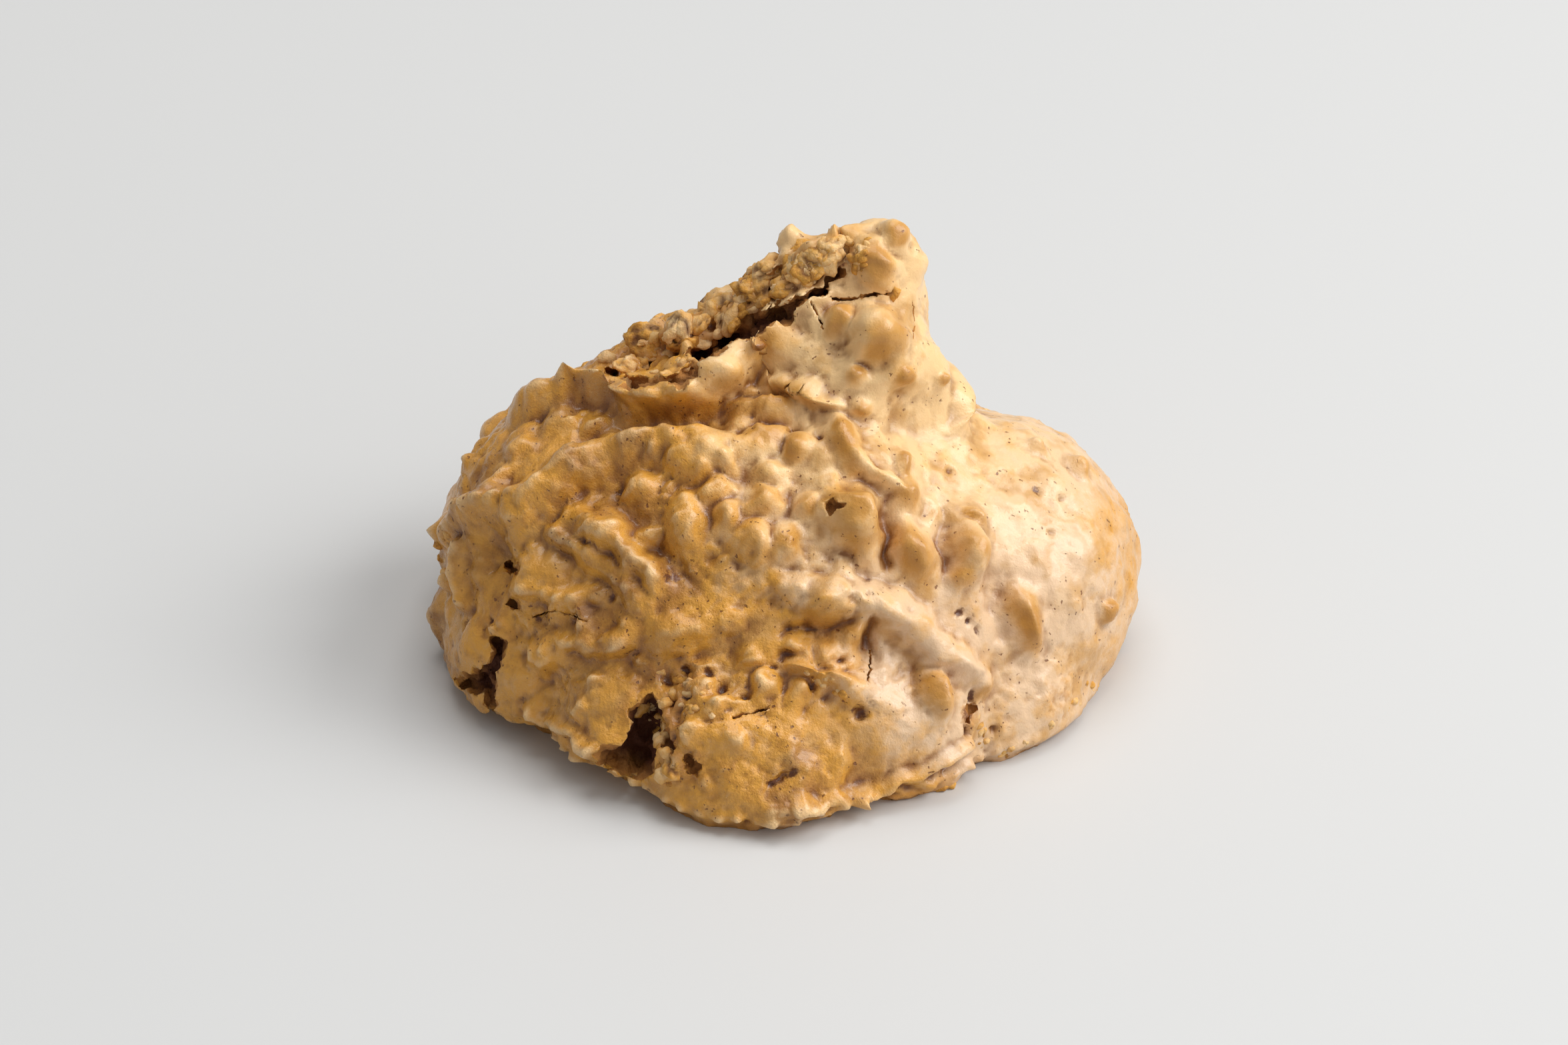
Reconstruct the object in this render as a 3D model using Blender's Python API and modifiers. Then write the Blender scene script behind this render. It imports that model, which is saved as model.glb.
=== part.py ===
"""Brutti ma buoni: one rough hazelnut meringue cookie, a single baked lump at its real size.

The cookie is modelled the way it is made. Spoonfuls of meringue are dropped into a heap, the wet skin
drapes over pieces of hazelnut and over its own folds, and the baked heap then splits open along its
crest and at its foot. Sizes are in millimetres until MM turns them into metres.
"""

import math
import random

import bmesh
import bpy
import numpy as np
from mathutils import Matrix, Vector, noise
from mathutils.bvhtree import BVHTree

MM = 0.001

# The finished size: width along X, depth along Y, height along Z.
WIDTH, DEPTH, HEIGHT = 60.0, 53.0, 39.0

# Features on the front are placed as the eye sees them from in front and above: so far right and up
# of the foot's centre, in the plane through it that faces the eye.
EYE_ELEVATION = math.radians(34.0)
EYE_DISTANCE = 808.0
EYE_BACK = Vector((0, -math.cos(EYE_ELEVATION), math.sin(EYE_ELEVATION)))
EYE_UP = Vector((0, math.sin(EYE_ELEVATION), math.cos(EYE_ELEVATION)))
EYE_RIGHT = Vector((1, 0, 0))

# Spoonfuls: centre and radii of each rounded mass of the heap.
SPOONFULS = {
    "heap": ((-0.5, 2.0, 3), (28.5, 22.8, 22.5)),
    "left_shoulder": ((-13.5, 3, 9.3), (15.5, 16.5, 14)),
    "right_shoulder": ((17.6, 3.4, 6.4), (13.4, 15.5, 13.6)),
    "front_foot": ((-2.6, -13.2, 1.2), (13.5, 14.8, 11)),
    "left_foot": ((-17, -3, 4), (12, 12.5, 8.5)),
    "left_front": ((-10.5, -11.6, 3.3), (9.5, 11.5, 8)),
    "right_lobe": ((6, -10.5, 3.5), (13.5, 13.3, 9)),
    "right_foot": ((16.5, -4.2, 1.6), (10.8, 13.2, 9.2)),
    "front_strip": ((8.5, -17.4, 0.8), (8, 6.4, 2.4)),
    "right_saddle": ((13.2, 4, 14), (7, 8, 8.2)),
    "brow": ((4, -2, 17), (11, 9, 9)),
    "neck": ((7.0, 3.5, 23.5), (7.8, 6.5, 9.5)),
    "lip": ((-5, 4, 19.5), (9, 6, 9)),
    "crest_left": ((-11.8, 7.8, 16.8), (8.5, 7, 8.4)),
    "crest_middle": ((-5, 9, 21), (8, 6.5, 8.5)),
    "crest_right": ((0.5, 9, 26), (6.5, 5.5, 7)),
    "crest_top": ((4.0, 8.8, 30.3), (5, 4.5, 6.2)),
    "peak": ((8.1, 7.8, 29), (4.5, 4.6, 7.5)),
    "knob": ((8.9, 8.9, 34.4), (3.6, 3.2, 3.9)),
    "nib": ((0.9, 10.0, 34.9), (1.3, 1.3, 2.9)),
}

# Hazelnut pieces under the skin: seen right, seen up, long radius, short radius, turn in degrees from
# the right, and how far the piece stands out.
LUMPS = (
    (10.1, 35.9, 1.3, 1.0, 90, 0.9),
    (6.4, 35.4, 1.5, 1.2, 20, 0.8),
    (8.3, 33.2, 2.3, 1.8, 110, 1.0),
    (4.2, 33.8, 1.2, 0.9, 30, 0.8),
    (0.4, 26.6, 2.7, 2.2, 60, 2.1),
    (8.9, 26.8, 2.5, 2.1, 100, 2.2),
    (5.4, 28.4, 1.6, 1.3, 80, 0.9),
    (6.7, 23.8, 1.0, 0.8, 0, 0.6),
    (7.0, 21.2, 1.0, 0.7, 0, 0.6),
    (11.0, 24.0, 1.2, 0.9, 0, 0.5),
    (14.2, 23.6, 0.7, 0.6, 0, 0.6),
    (5.9, 18.0, 2.5, 1.2, 100, 2.0),
    (-0.6, 20.5, 2.6, 1.6, 10, 1.3),
    (-3.4, 20.6, 1.4, 1.1, 40, 0.9),
    (-1.2, 18.1, 1.9, 1.3, 30, 1.0),
    (1.8, 17.7, 1.6, 1.2, 80, 0.8),
    (-5.9, 21.2, 1.0, 0.8, 0, 0.8),
    (-4.4, 23.4, 1.0, 0.8, 0, 0.7),
    (-2.8, 22.4, 0.8, 0.7, 0, 0.5),
    (2.8, 21.8, 1.7, 0.8, 160, 0.8),
    (10.8, 16.0, 1.6, 0.7, 80, 0.9),
    (11.3, 13.4, 1.7, 1.2, 60, 1.3),
    (5.8, 11.2, 3.3, 2.5, 130, 2.0),
    (6.9, 9.0, 1.6, 1.2, 100, 1.0),
    (2.2, 12.2, 1.4, 1.2, 60, 0.9),
    (11.8, 8.0, 2.7, 1.6, 100, 2.4),
    (16.2, 8.6, 2.2, 1.9, 95, 2.6),
    (15.6, 6.3, 1.2, 1.0, 0, 0.9),
    (16.8, 11.4, 1.1, 0.9, 100, 1.0),
    (21.3, 2.8, 2.7, 1.4, 105, 2.2),
    (13.3, -3.8, 2.1, 1.4, 95, 2.0),
    (17.6, -2.9, 1.3, 1.0, 60, 1.2),
    (22.5, 17.8, 0.9, 0.8, 0, 0.9),
    (26.0, 16.2, 1.0, 0.8, 90, 0.9),
    (28.4, 3.8, 0.9, 0.8, 0, 0.9),
    (-8.3, 15.5, 1.4, 1.1, 0, 1.1),
    (-6.8, 14.9, 1.1, 0.9, 0, 1.0),
    (-5.4, 13.5, 1.6, 1.1, 60, 1.1),
    (-4.4, 15.7, 0.9, 0.8, 0, 0.7),
    (-8.1, 11.0, 2.1, 1.5, 100, 1.2),
    (-4.5, 11.2, 1.5, 1.2, 70, 1.1),
    (-2.2, 9.0, 2.1, 1.5, 120, 1.4),
    (0.7, 9.4, 1.7, 1.2, 60, 0.9),
    (-1.5, 12.8, 1.6, 1.2, 30, 0.9),
    (-12.0, 13.4, 1.8, 1.2, 30, 0.8),
    (-14.4, 9.6, 2.3, 1.3, 160, 0.9),
    (-11.3, 9.4, 1.6, 1.2, 60, 0.7),
    (-20.0, 7.0, 1.9, 1.3, 160, 0.7),
    (-17.6, 11.4, 1.6, 1.2, 20, 0.7),
    (-8.2, 2.1, 3.2, 1.7, 15, 1.2),
    (-12.8, 1.6, 1.6, 1.2, 40, 0.7),
    (-2.6, -0.8, 1.2, 0.9, 60, 1.1),
    (-1.0, -3.2, 1.5, 1.0, 100, 1.4),
    (2.0, -1.6, 1.3, 1.0, 150, 1.4),
    (4.2, -2.5, 1.6, 1.1, 150, 1.5),
    (6.0, -3.7, 1.3, 1.0, 155, 1.4),
    (3.6, 3.3, 2.2, 1.4, 20, 1.4),
    (6.2, 1.6, 1.5, 1.2, 60, 1.5),
    (4.1, 0.5, 1.1, 0.9, 0, 1.2),
    (1.6, -4.4, 1.3, 0.9, 60, 0.9),
    (-5.6, -5.2, 1.4, 1.1, 30, 1.0),
    (-7.2, -7.3, 1.5, 1.2, 60, 1.1),
    (-3.6, -7.5, 1.4, 1.0, 120, 0.8),
    (-15.7, -2.7, 0.9, 0.7, 0, 0.7),
    (-20.4, -1.2, 1.6, 1.1, 50, 0.5),
    (-26.5, 16.6, 1.5, 1.1, 50, 0.9),
    (-25.6, 12.3, 1.6, 0.9, 20, 0.9),
    (-28.9, 10.5, 1.2, 1.0, 50, 1.1),
    (-28.4, 6.4, 1.1, 0.8, 90, 0.8),
    (-13.5, 0.8, 1.1, 0.9, 0, 0.5),
    (-20.4, 20.6, 1.4, 1.0, 20, 0.7),
    (-17.4, 21.7, 1.2, 0.9, 0, 0.6),
    (-14.8, 21.5, 1.3, 1.0, 0, 0.7),
    (-12.2, 21.2, 1.1, 0.9, 0, 0.6),
    (-9.9, 21.3, 1.2, 0.9, 20, 0.6),
    (-7.7, 21.9, 1.0, 0.8, 40, 0.6),
    (-16.0, 19.6, 0.9, 0.7, 0, 0.4),
    (-22.4, 17.6, 1.2, 0.9, 60, 0.5),
    (-24.0, 14.8, 1.3, 0.9, 40, 0.5),
)

# Folds of meringue: radius, how far they stand out, and the way they run.
FOLDS = (
    (1.7, 1.2, ((-21, 21.2), (-16, 22.2), (-11, 21.6), (-7, 22.6), (-3.6, 25.2), (-0.4, 28.2),
                (2.6, 29.8))),
    (1.8, 0.9, ((-21.5, 12.4), (-17.8, 15.4), (-13.5, 17.4), (-9, 17.6), (-4.6, 16.6))),
    (1.5, 0.8, ((3.0, 5.0), (7.4, 4.4), (11, 2.6), (14, -0.2), (16.4, -1.8))),
    (1.2, 0.9, ((-28.3, 11.0), (-26.6, 12.6), (-24.0, 12.8))),
    (1.1, 0.7, ((-16.5, 10.6), (-14, 9.8), (-12.4, 7.4), (-10.5, 6.4))),
    (0.9, 0.7, ((-27.4, 9.4), (-27.6, 7.2), (-27.2, 5.0))),
    (0.8, 0.6, ((-1.2, 22.9), (1.0, 23.2), (3.4, 22.6), (4.6, 21.6))),
    (0.7, 0.5, ((7.0, 16.2), (8.4, 15.0), (9.8, 14.2))),
    (0.6, 0.9, ((-1.0, -14.2), (2.8, -13.4), (7.6, -11.9), (10.0, -11.2), (14.0, -9.6), (16.2, -8.2))),
    (0.6, 0.8, ((-21.5, -5.0), (-18.5, -6.6), (-15.6, -8.6))),
    (2.6, 0.6, ((1.0, -0.4), (4.0, -1.8), (7.0, -3.4))),
    (0.9, 0.5, ((-19.5, 10.6), (-16.0, 8.2), (-13.4, 6.2), (-11.6, 3.6))),
    (0.8, 0.4, ((-22.0, 5.6), (-18.8, 5.0), (-15.2, 4.9))),
    (1.0, 0.4, ((-21.0, -0.4), (-18.0, 0.8), (-14.6, 0.6))),
)

# Hollows between the lumps: seen right, seen up, long radius, short radius, turn and depth.
HOLLOWS = (
    (8.2, 25.0, 1.9, 1.1, 20, 0.8),
    (4.8, 26.6, 1.3, 1.9, 0, 0.6),
    (-11.0, 19.0, 7.0, 1.6, 5, 0.45),
    (0.6, -0.3, 1.2, 0.9, 60, 1.2),
    (2.4, 1.6, 2.6, 1.2, 10, 0.9),
    (-24.6, 7.6, 3.0, 2.0, 100, 1.3),
    (14.4, 9.4, 1.0, 3.0, 0, 0.7),
    (12.0, 20.6, 3.4, 2.6, 0, 0.7),
    (9.2, 10.0, 0.9, 3.0, 0, 0.9),
    (19.0, 5.0, 1.4, 3.4, 0, 0.6),
    (-9.6, 8.0, 3.0, 1.2, 140, 0.6),
    (7.9, 0.6, 0.7, 2.6, 0, 0.7),
    (9.0, -12.7, 4.0, 0.6, 20, 0.9),
    (14.8, -10.4, 2.4, 0.6, 35, 0.8),
)

# Cracks: half width, depth, and the way they run. The first opens under the crest, the next two are
# the torn hollows at the foot, the last ones are the loose edge of the crust at the front.
CRACKS = (
    (0.5, 4.0, ((4.2, 31.3), (2.2, 30.7), (0.2, 29.6))),
    (0.95, 6.5, ((0.2, 29.6), (-3.4, 27.8), (-6.6, 26.0))),
    (0.55, 4.0, ((-6.6, 25.9), (-8.2, 24.3))),
    (0.85, 3.5, ((-7.8, 24.1), (-8.9, 23.6))),
    (0.5, 3.0, ((-8.9, 23.7), (-11.2, 23.5))),
    (0.85, 3.5, ((-11.4, 23.8), (-12.8, 23.4))),
    (0.5, 2.5, ((-12.8, 23.6), (-14.8, 24.8))),
    (0.6, 2.5, ((-11.2, 25.0), (-11.7, 26.4))),
    (0.5, 2.2, ((-3.4, 29.0), (-2.2, 29.7))),
    (0.55, 2.0, ((-0.9, 32.3), (0.1, 32.9))),
    (0.45, 2.0, ((4.2, 32.4), (5.4, 33.0))),
    (1.3, 5.5, ((-11.6, -5.2), (-12.0, -6.8), (-12.4, -8.6), (-12.2, -9.8))),
    (0.95, 4.5, ((-12.8, -8.8), (-15.0, -9.5))),
    (0.55, 4.0, ((-24.2, 0.9), (-24.4, -0.8))),
    (0.9, 4.5, ((-24.8, -1.4), (-26.0, -2.3), (-27.2, -2.6))),
    (0.6, 3.0, ((-25.0, -3.0), (-25.0, -5.0))),
    (0.6, 2.2, ((-23.3, 7.8), (-22.7, 7.2))),
    (0.5, 1.8, ((-23.3, 4.1), (-22.8, 3.9))),
    (0.55, 1.8, ((4.4, 12.7), (5.1, 12.6))),
    (0.5, 1.8, ((-9.7, -7.6), (-9.3, -8.8))),
    (0.6, 1.6, ((-7.8, -10.0), (-7.2, -10.5))),
    (0.45, 1.6, ((16.6, -4.8), (16.4, -5.8))),
)

# The ridge of the split crest, as the eye sees it.
CREST = ((-13.6, 25.8), (-10.5, 26.9), (-7.0, 28.2), (-3.4, 30.2), (-0.6, 32.0), (2.4, 33.4), (5.0, 34.4))

SEED = 7
RISE = 1.65  # how much farther the skin stands out than the piece under it
STEEPEST = 1.3  # the tallest that a bump may be, as a share of its smallest radius
CAP_SHAPE = 1.4  # how square the cap of a fold is: 1 is a bell, more has a flat top and steep sides
LEAN = 0.4  # the most that the top of a bump is shifted, as a share of its radius

# The side that the eye doesn't see is made by chance, of the same kinds of things.
HIDDEN_FROM = -0.15  # from which lean of the skin away from the eye
HEAP_MIDDLE = Vector((0, 3, 4))
PEAK_FOOT = 27.0  # how high the hidden pieces reach, below the slim peak
HIDDEN_LUMPS = 170  # pieces of hazelnut tried there
HIDDEN_LUMP_SIZES = (1.2, 1.6, 2.2, 3.0, 4.0)
HIDDEN_FOLDS = 26  # folds of meringue tried there
HIDDEN_FOLD_RADII = (1.2, 2.0)
SMALL_LUMPS = 240  # crumbs of hazelnut under the skin all over
SMALL_LUMP_SIZES = (0.7, 2.0)
RIDGE_CRUMBS = 90  # broken meringue on the crest above its crack
RIDGE_CRUMB_SIZES = (0.6, 1.5)
RIDGE_STRAY = 1.5

# The skin itself: how wide and how high each unevenness is.
SWELL_WIDTH, SWELL_HEIGHT = 9.0, 0.5
UNEVEN_WIDTH, UNEVEN_HEIGHT = 2.8, 0.36
BITS_WIDTH, BITS_HEIGHT = 2.6, 0.85
BITS_PATCH = 7.5
BEND_WIDE, BEND_FINE = (2.2, 0.6), (0.9, 0.18)

# The foot: where the skin overhangs on the left and where it spreads flat in front, as a middle and a
# half width along X, how far it tucks under, and the torn edge above.
OVERHANG = (-17.0, 7.0)
SPREAD = (-3.0, 6.0)
FOOT_TUCK, OVERHANG_TUCK = 0.9, 2.2
FOOT_HEIGHT, OVERHANG_HEIGHT = 0.55, 1.2
EDGE_LEVEL, EDGE_HEIGHT, EDGE_OUT = 1.4, 0.45, 0.4
FOOT_PATCH, EDGE_PATCH = 4.5, 1.3

HEAP_VOXEL = 0.6
HEAP_ROUNDS = 20  # of smoothing, until the spoonfuls have run together
CUTTER_VOXEL = 0.4
HEAP_TRIANGLES = 8300
CUTTER_TRIANGLES = 2600
FLOOR_TRIM = 0.15  # of the foot, which thinning out leaves uneven
FLOOR_BLOCK = Vector((120, 120, 60))

CRUST_COLOUR = (0.56, 0.33, 0.13, 1.0)
CRUST_ROUGHNESS = 0.45


def clear_scene():
    for item in list(bpy.data.objects):
        bpy.data.objects.remove(item, do_unlink=True)


def seen(right, up, surface):
    """Where on the surface the eye meets the point that lies so far right and up, and the normal."""
    eye = EYE_BACK * EYE_DISTANCE
    aim = EYE_RIGHT * right + EYE_UP * up
    place, normal, _, _ = surface.ray_cast(eye * MM, (aim - eye).normalized())
    if place is None:
        place, normal, _, _ = surface.find_nearest(aim * MM)
    return place / MM, normal


def in_view(turn):
    """The way that a feature runs, turned so many degrees from the right as the eye sees it."""
    angle = math.radians(turn)
    return EYE_RIGHT * math.cos(angle) + EYE_UP * math.sin(angle)


def ball(centre, radii, axes=None):
    """The matrix that makes a unit ball an ellipsoid, in metres."""
    size = Matrix.Diagonal((*(r * MM for r in radii), 1.0))
    turned = Matrix(axes).transposed().to_4x4() if axes else Matrix.Identity(4)
    return Matrix.Translation(Vector(centre) * MM) @ turned @ size


def body_of(name, balls, subdivisions):
    """An object that holds one ico sphere for each matrix."""
    made = bmesh.new()
    for matrix in balls:
        bmesh.ops.create_icosphere(made, subdivisions=subdivisions, radius=1.0, matrix=matrix)
    mesh = bpy.data.meshes.new(name)
    made.to_mesh(mesh)
    made.free()
    return bpy.data.objects.new(name, mesh)


def collect(name, item):
    collection = bpy.data.collections.new(name)
    bpy.context.scene.collection.children.link(collection)
    collection.objects.link(item)


def apply_modifiers(item):
    graph = bpy.context.evaluated_depsgraph_get()
    mesh = bpy.data.meshes.new_from_object(item.evaluated_get(graph), depsgraph=graph)
    item.modifiers.clear()
    item.data = mesh


def fuse(item, voxel, rounds):
    """Makes the balls in the object one skin, and lets it settle."""
    remesh = item.modifiers.new("fuse", "REMESH")
    remesh.mode = "VOXEL"
    remesh.voxel_size = voxel * MM
    settle = item.modifiers.new("settle", "SMOOTH")
    settle.factor = 0.5
    settle.iterations = rounds
    apply_modifiers(item)


def surface_of(item):
    made = bmesh.new()
    made.from_mesh(item.data)
    tree = BVHTree.FromBMesh(made)
    made.free()
    return tree


def bump(place, normal, way, radii, rise, steep=CAP_SHAPE, lean=(0.0, 0.0)):
    """A rise of the skin: its place, its axes and radii, its height, how steep its sides are and how
    far its top leans to one side."""
    across = normal.cross(way).normalized()
    along = across.cross(normal).normalized()
    most = STEEPEST * min(radii)
    tall = max(-most, min(most, RISE * rise))
    return place, (along, across, normal), (*radii, 1.5 * max(radii)), tall, steep, lean


def any_shape(luck):
    """How steep a nut piece's sides are, and which way its top leans, by chance."""
    return luck.uniform(1.05, 1.7), (luck.uniform(-LEAN, LEAN), luck.uniform(-LEAN, LEAN))


def seen_bumps(rows, surface):
    for number, (right, up, long_radius, short_radius, turn, rise) in enumerate(rows):
        place, normal = seen(right, up, surface)
        shape = any_shape(random.Random(number))
        yield bump(place, normal, in_view(turn), (long_radius, short_radius), rise, *shape)


def walk(path, step):
    """Places along a path of straight stretches, and the way that each stretch runs."""
    for (right0, up0), (right1, up1) in zip(path, path[1:]):
        steps = max(1, round(math.hypot(right1 - right0, up1 - up0) / step))
        turn = math.degrees(math.atan2(up1 - up0, right1 - right0))
        for i in range(steps + 1):
            t = i / steps
            yield right0 + (right1 - right0) * t, up0 + (up1 - up0) * t, turn


def fold_bumps(surface):
    for radius, rise, path in FOLDS:
        for right, up, turn in walk(path, 0.5 * radius):
            place, normal = seen(right, up, surface)
            yield bump(place, normal, in_view(turn), (1.2 * radius, radius), rise)


def chance_place(surface, luck):
    """A place on the heap by chance, and the normal there."""
    turn = luck.uniform(-math.pi, math.pi)
    lift = math.asin(luck.uniform(0.0, 1.0))
    way = Vector((math.cos(turn) * math.cos(lift), math.sin(turn) * math.cos(lift), math.sin(lift)))
    place, normal, _, _ = surface.ray_cast((HEAP_MIDDLE + way * 100) * MM, -way)
    return place / MM, normal


def hidden(normal):
    return normal.dot(EYE_BACK) < HIDDEN_FROM


def hidden_nuts(surface, luck):
    """Pieces of hazelnut on the back and the sides, by chance."""
    for _ in range(HIDDEN_LUMPS):
        place, normal = chance_place(surface, luck)
        size = luck.choice(HIDDEN_LUMP_SIZES)
        spread = luck.uniform(0.55, 1.0)
        way = in_view(luck.uniform(0, 180))
        rise = size * luck.uniform(0.3, 0.6)
        shape = any_shape(luck)
        low = min(1.0, -1.5 * normal.dot(EYE_BACK))
        if hidden(normal) and place.z < PEAK_FOOT:
            yield bump(place, normal, way, (size, size * spread), rise * low, *shape)


def hidden_folds(surface, luck):
    """Folds of meringue on the back and the sides, by chance."""
    for _ in range(HIDDEN_FOLDS):
        place, normal = chance_place(surface, luck)
        own_luck = random.Random(luck.random())
        if not hidden(normal):
            continue
        radius = own_luck.uniform(*HIDDEN_FOLD_RADII)
        way = normal.cross(Vector((own_luck.uniform(-0.5, 0.5), own_luck.uniform(-0.5, 0.5), 1)))
        for _ in range(own_luck.randrange(10, 22)):
            if place.z > PEAK_FOOT:
                break
            yield bump(place, normal, way, (1.2 * radius, radius), 0.6 * radius)
            way = way + normal.cross(way) * own_luck.uniform(-0.25, 0.25)
            ahead = place + way.normalized() * 0.6 * radius
            place, normal, _, _ = surface.find_nearest(ahead * MM)
            place = place / MM


def small_bumps(surface, luck):
    """Crumbs of hazelnut under the skin, all over."""
    for _ in range(SMALL_LUMPS):
        place, normal = chance_place(surface, luck)
        size = luck.uniform(*SMALL_LUMP_SIZES)
        rise = size * luck.uniform(0.15, 0.4) * (1 - 0.6 * paleness(*place))
        way = in_view(luck.uniform(0, 180))
        yield bump(place, normal, way, (size, size * luck.uniform(0.6, 1.0)), rise, *any_shape(luck))


def ridge_bumps(surface, luck):
    """Broken meringue along the crest: crumbs and gaps."""
    for _ in range(RIDGE_CRUMBS):
        place, normal = near_path(CREST, RIDGE_STRAY, surface, luck)
        size = luck.uniform(*RIDGE_CRUMB_SIZES)
        rise = size * luck.uniform(-1.0, 1.0)
        way = in_view(luck.uniform(0, 180))
        yield bump(place, normal, way, (size, size * 0.75), rise, *any_shape(luck))


def near_path(path, stray, surface, luck):
    """A place by chance along a path that the eye sees, and the normal there."""
    lengths = [math.dist(a, b) for a, b in zip(path, path[1:])]
    way = luck.uniform(0, sum(lengths))
    right_stray, up_stray = luck.uniform(-stray, stray), luck.uniform(-stray, stray)
    for (right0, up0), (right1, up1), length in zip(path, path[1:], lengths):
        if way <= length:
            break
        way -= length
    t = min(1.0, way / length)
    return seen(right0 + (right1 - right0) * t + right_stray, up0 + (up1 - up0) * t + up_stray, surface)


def drape(item, lumps, folds, falls):
    """Lifts the skin over the folds and the lumps on them, and dents it at the falls."""
    mesh = item.data
    count = len(mesh.vertices)
    places = np.empty(count * 3)
    normals = np.empty(count * 3)
    mesh.vertices.foreach_get("co", places)
    mesh.vertices.foreach_get("normal", normals)
    places = places.reshape(-1, 3) / MM
    normals = normals.reshape(-1, 3)
    bent = bend(places)
    up = height_over(bent, folds) + height_over(bent, lumps) - height_over(bent, falls)
    up += np.array([skin_at(Vector(place)) for place in places])
    places += normals * up[:, None]
    mesh.vertices.foreach_set("co", (places * MM).ravel())
    mesh.update()


def bend(places):
    """Moves each place a little by a slow noise, so that what is drawn there isn't an exact ellipse."""
    moved = np.zeros_like(places)
    for width, reach in (BEND_WIDE, BEND_FINE):
        moved += reach * np.array([noise.noise_vector(Vector(place) / width) for place in places])
    return places + moved


def height_over(places, bumps):
    """The height of the skin at each place: a soft maximum over the bumps, each a leaning dome."""
    total = np.zeros(len(places))
    for centre, axes, radii, rise, steep, lean in bumps:
        away = places - np.array(centre)
        close = (np.abs(away) < 3 * max(radii)).all(axis=1)
        inside = away[close] @ np.array(axes).T / np.array(radii)
        reach = (inside ** 2).sum(axis=1)
        height = rise * np.exp(-reach ** steep) * np.clip(1 + inside[:, :2] @ np.array(lean), 0.2, 1.8)
        total[close] += np.sign(rise) * np.abs(height) ** 3
    return np.cbrt(total)


def paleness(x, _, z):
    """How smooth and pale the skin is: from 0 on the left to 1 high up on the right."""
    return 1 / (1 + np.exp(-(x + 0.5 * z - 16.0) / 3.8))


def skin_at(place):
    """How far the skin stands out: slow swells, finer unevenness, and nut bits under it."""
    pale = paleness(*place)
    swell = noise.fractal(place / SWELL_WIDTH, 0.9, 2.0, 2) * SWELL_HEIGHT
    uneven = noise.fractal(place / UNEVEN_WIDTH, 0.8, 2.0, 3) * UNEVEN_HEIGHT * (1 - 0.55 * pale)
    patch = noise.noise(place / BITS_PATCH + Vector((9, 0, 0)))
    lumpy = min(1.0, max(0.0, 0.5 + 1.6 * patch)) * (1 - 0.65 * pale)
    return swell + uneven + lumpy * cell_dome(place / BITS_WIDTH) * BITS_HEIGHT + foot_at(place)


def cell_dome(place):
    """A dome round each of many scattered points, half of them flat and the others unequal."""
    near, points = noise.voronoi(place)
    return max(0.0, noise.cell(points[0] * 9.7)) * max(0.0, 1.0 - (near[0] / 0.55) ** 2)


def foot_at(place):
    """How far the foot tucks under, and how far the torn edge of the skin above it stands out."""
    worn = max(0.0, 0.5 + 1.4 * noise.noise(Vector((place.x, place.y, 0)) / FOOT_PATCH))
    ragged = 1.0 + 1.6 * noise.noise(place / EDGE_PATCH)
    overhang = bell(place.x, *OVERHANG) if place.y < 0 else 0.0
    spread = bell(place.x, *SPREAD) if place.y < 0 else 0.0
    height = FOOT_HEIGHT + OVERHANG_HEIGHT * overhang
    tuck = (FOOT_TUCK * worn * (1 - spread) + OVERHANG_TUCK * overhang) * bell(place.z, 0.1, height)
    return EDGE_OUT * worn * ragged * bell(place.z, EDGE_LEVEL, EDGE_HEIGHT) - tuck


def bell(at, middle, half_width):
    return math.exp(-((at - middle) / half_width) ** 2)


def crack_balls(surface):
    """The hollow of each crack: balls stretched away from the eye, along the crack's way."""
    luck = random.Random(SEED + 1)
    for half_width, depth, path in CRACKS:
        for right, up, turn in walk(path, 0.6 * half_width):
            place, _ = seen(right, up, surface)
            way = in_view(turn)
            axes = (way, -EYE_BACK, way.cross(-EYE_BACK))
            wide = half_width * luck.uniform(0.75, 1.25)
            deep = depth * luck.uniform(0.7, 1.0)
            shift = axes[2] * luck.uniform(-0.25, 0.25) * half_width
            yield ball(place + shift, (1.2 * half_width, deep, wide), axes)


def cut(item, cutter, operation):
    boolean = item.modifiers.new("cut", "BOOLEAN")
    boolean.operation = operation
    boolean.object = cutter
    boolean.solver = "MANIFOLD"
    apply_modifiers(item)


def drop_scraps(item):
    """Keeps the biggest body that the cracks leave, and drops loose scraps."""
    made = bmesh.new()
    made.from_mesh(item.data)
    left = set(made.verts)
    bodies = []
    while left:
        body = {left.pop()}
        edge = list(body)
        while edge:
            corner = edge.pop()
            for other in (link.other_vert(corner) for link in corner.link_edges):
                if other in left:
                    left.discard(other)
                    body.add(other)
                    edge.append(other)
        bodies.append(body)
    bodies.sort(key=len)
    bmesh.ops.delete(made, geom=[corner for body in bodies[:-1] for corner in body], context="VERTS")
    made.to_mesh(item.data)
    made.free()


def thin_out(item, triangles):
    """Brings the mesh down to so many triangles, with the most where it bends most."""
    reduce = item.modifiers.new("reduce", "DECIMATE")
    faces = sum(len(face.vertices) - 2 for face in item.data.polygons)
    reduce.ratio = triangles / faces
    apply_modifiers(item)


def cut_floor(item, level):
    """Cuts the heap off flat at this level."""
    above = bpy.data.objects.new("above the floor", bpy.data.meshes.new("above the floor"))
    made = bmesh.new()
    bmesh.ops.create_cube(made, size=1.0)
    bmesh.ops.scale(made, vec=FLOOR_BLOCK * MM, verts=made.verts)
    bmesh.ops.translate(made, vec=Vector((0, 0, FLOOR_BLOCK.z / 2 + level)) * MM, verts=made.verts)
    made.to_mesh(above.data)
    made.free()
    cut(item, above, "INTERSECT")
    bpy.data.objects.remove(above)


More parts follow.
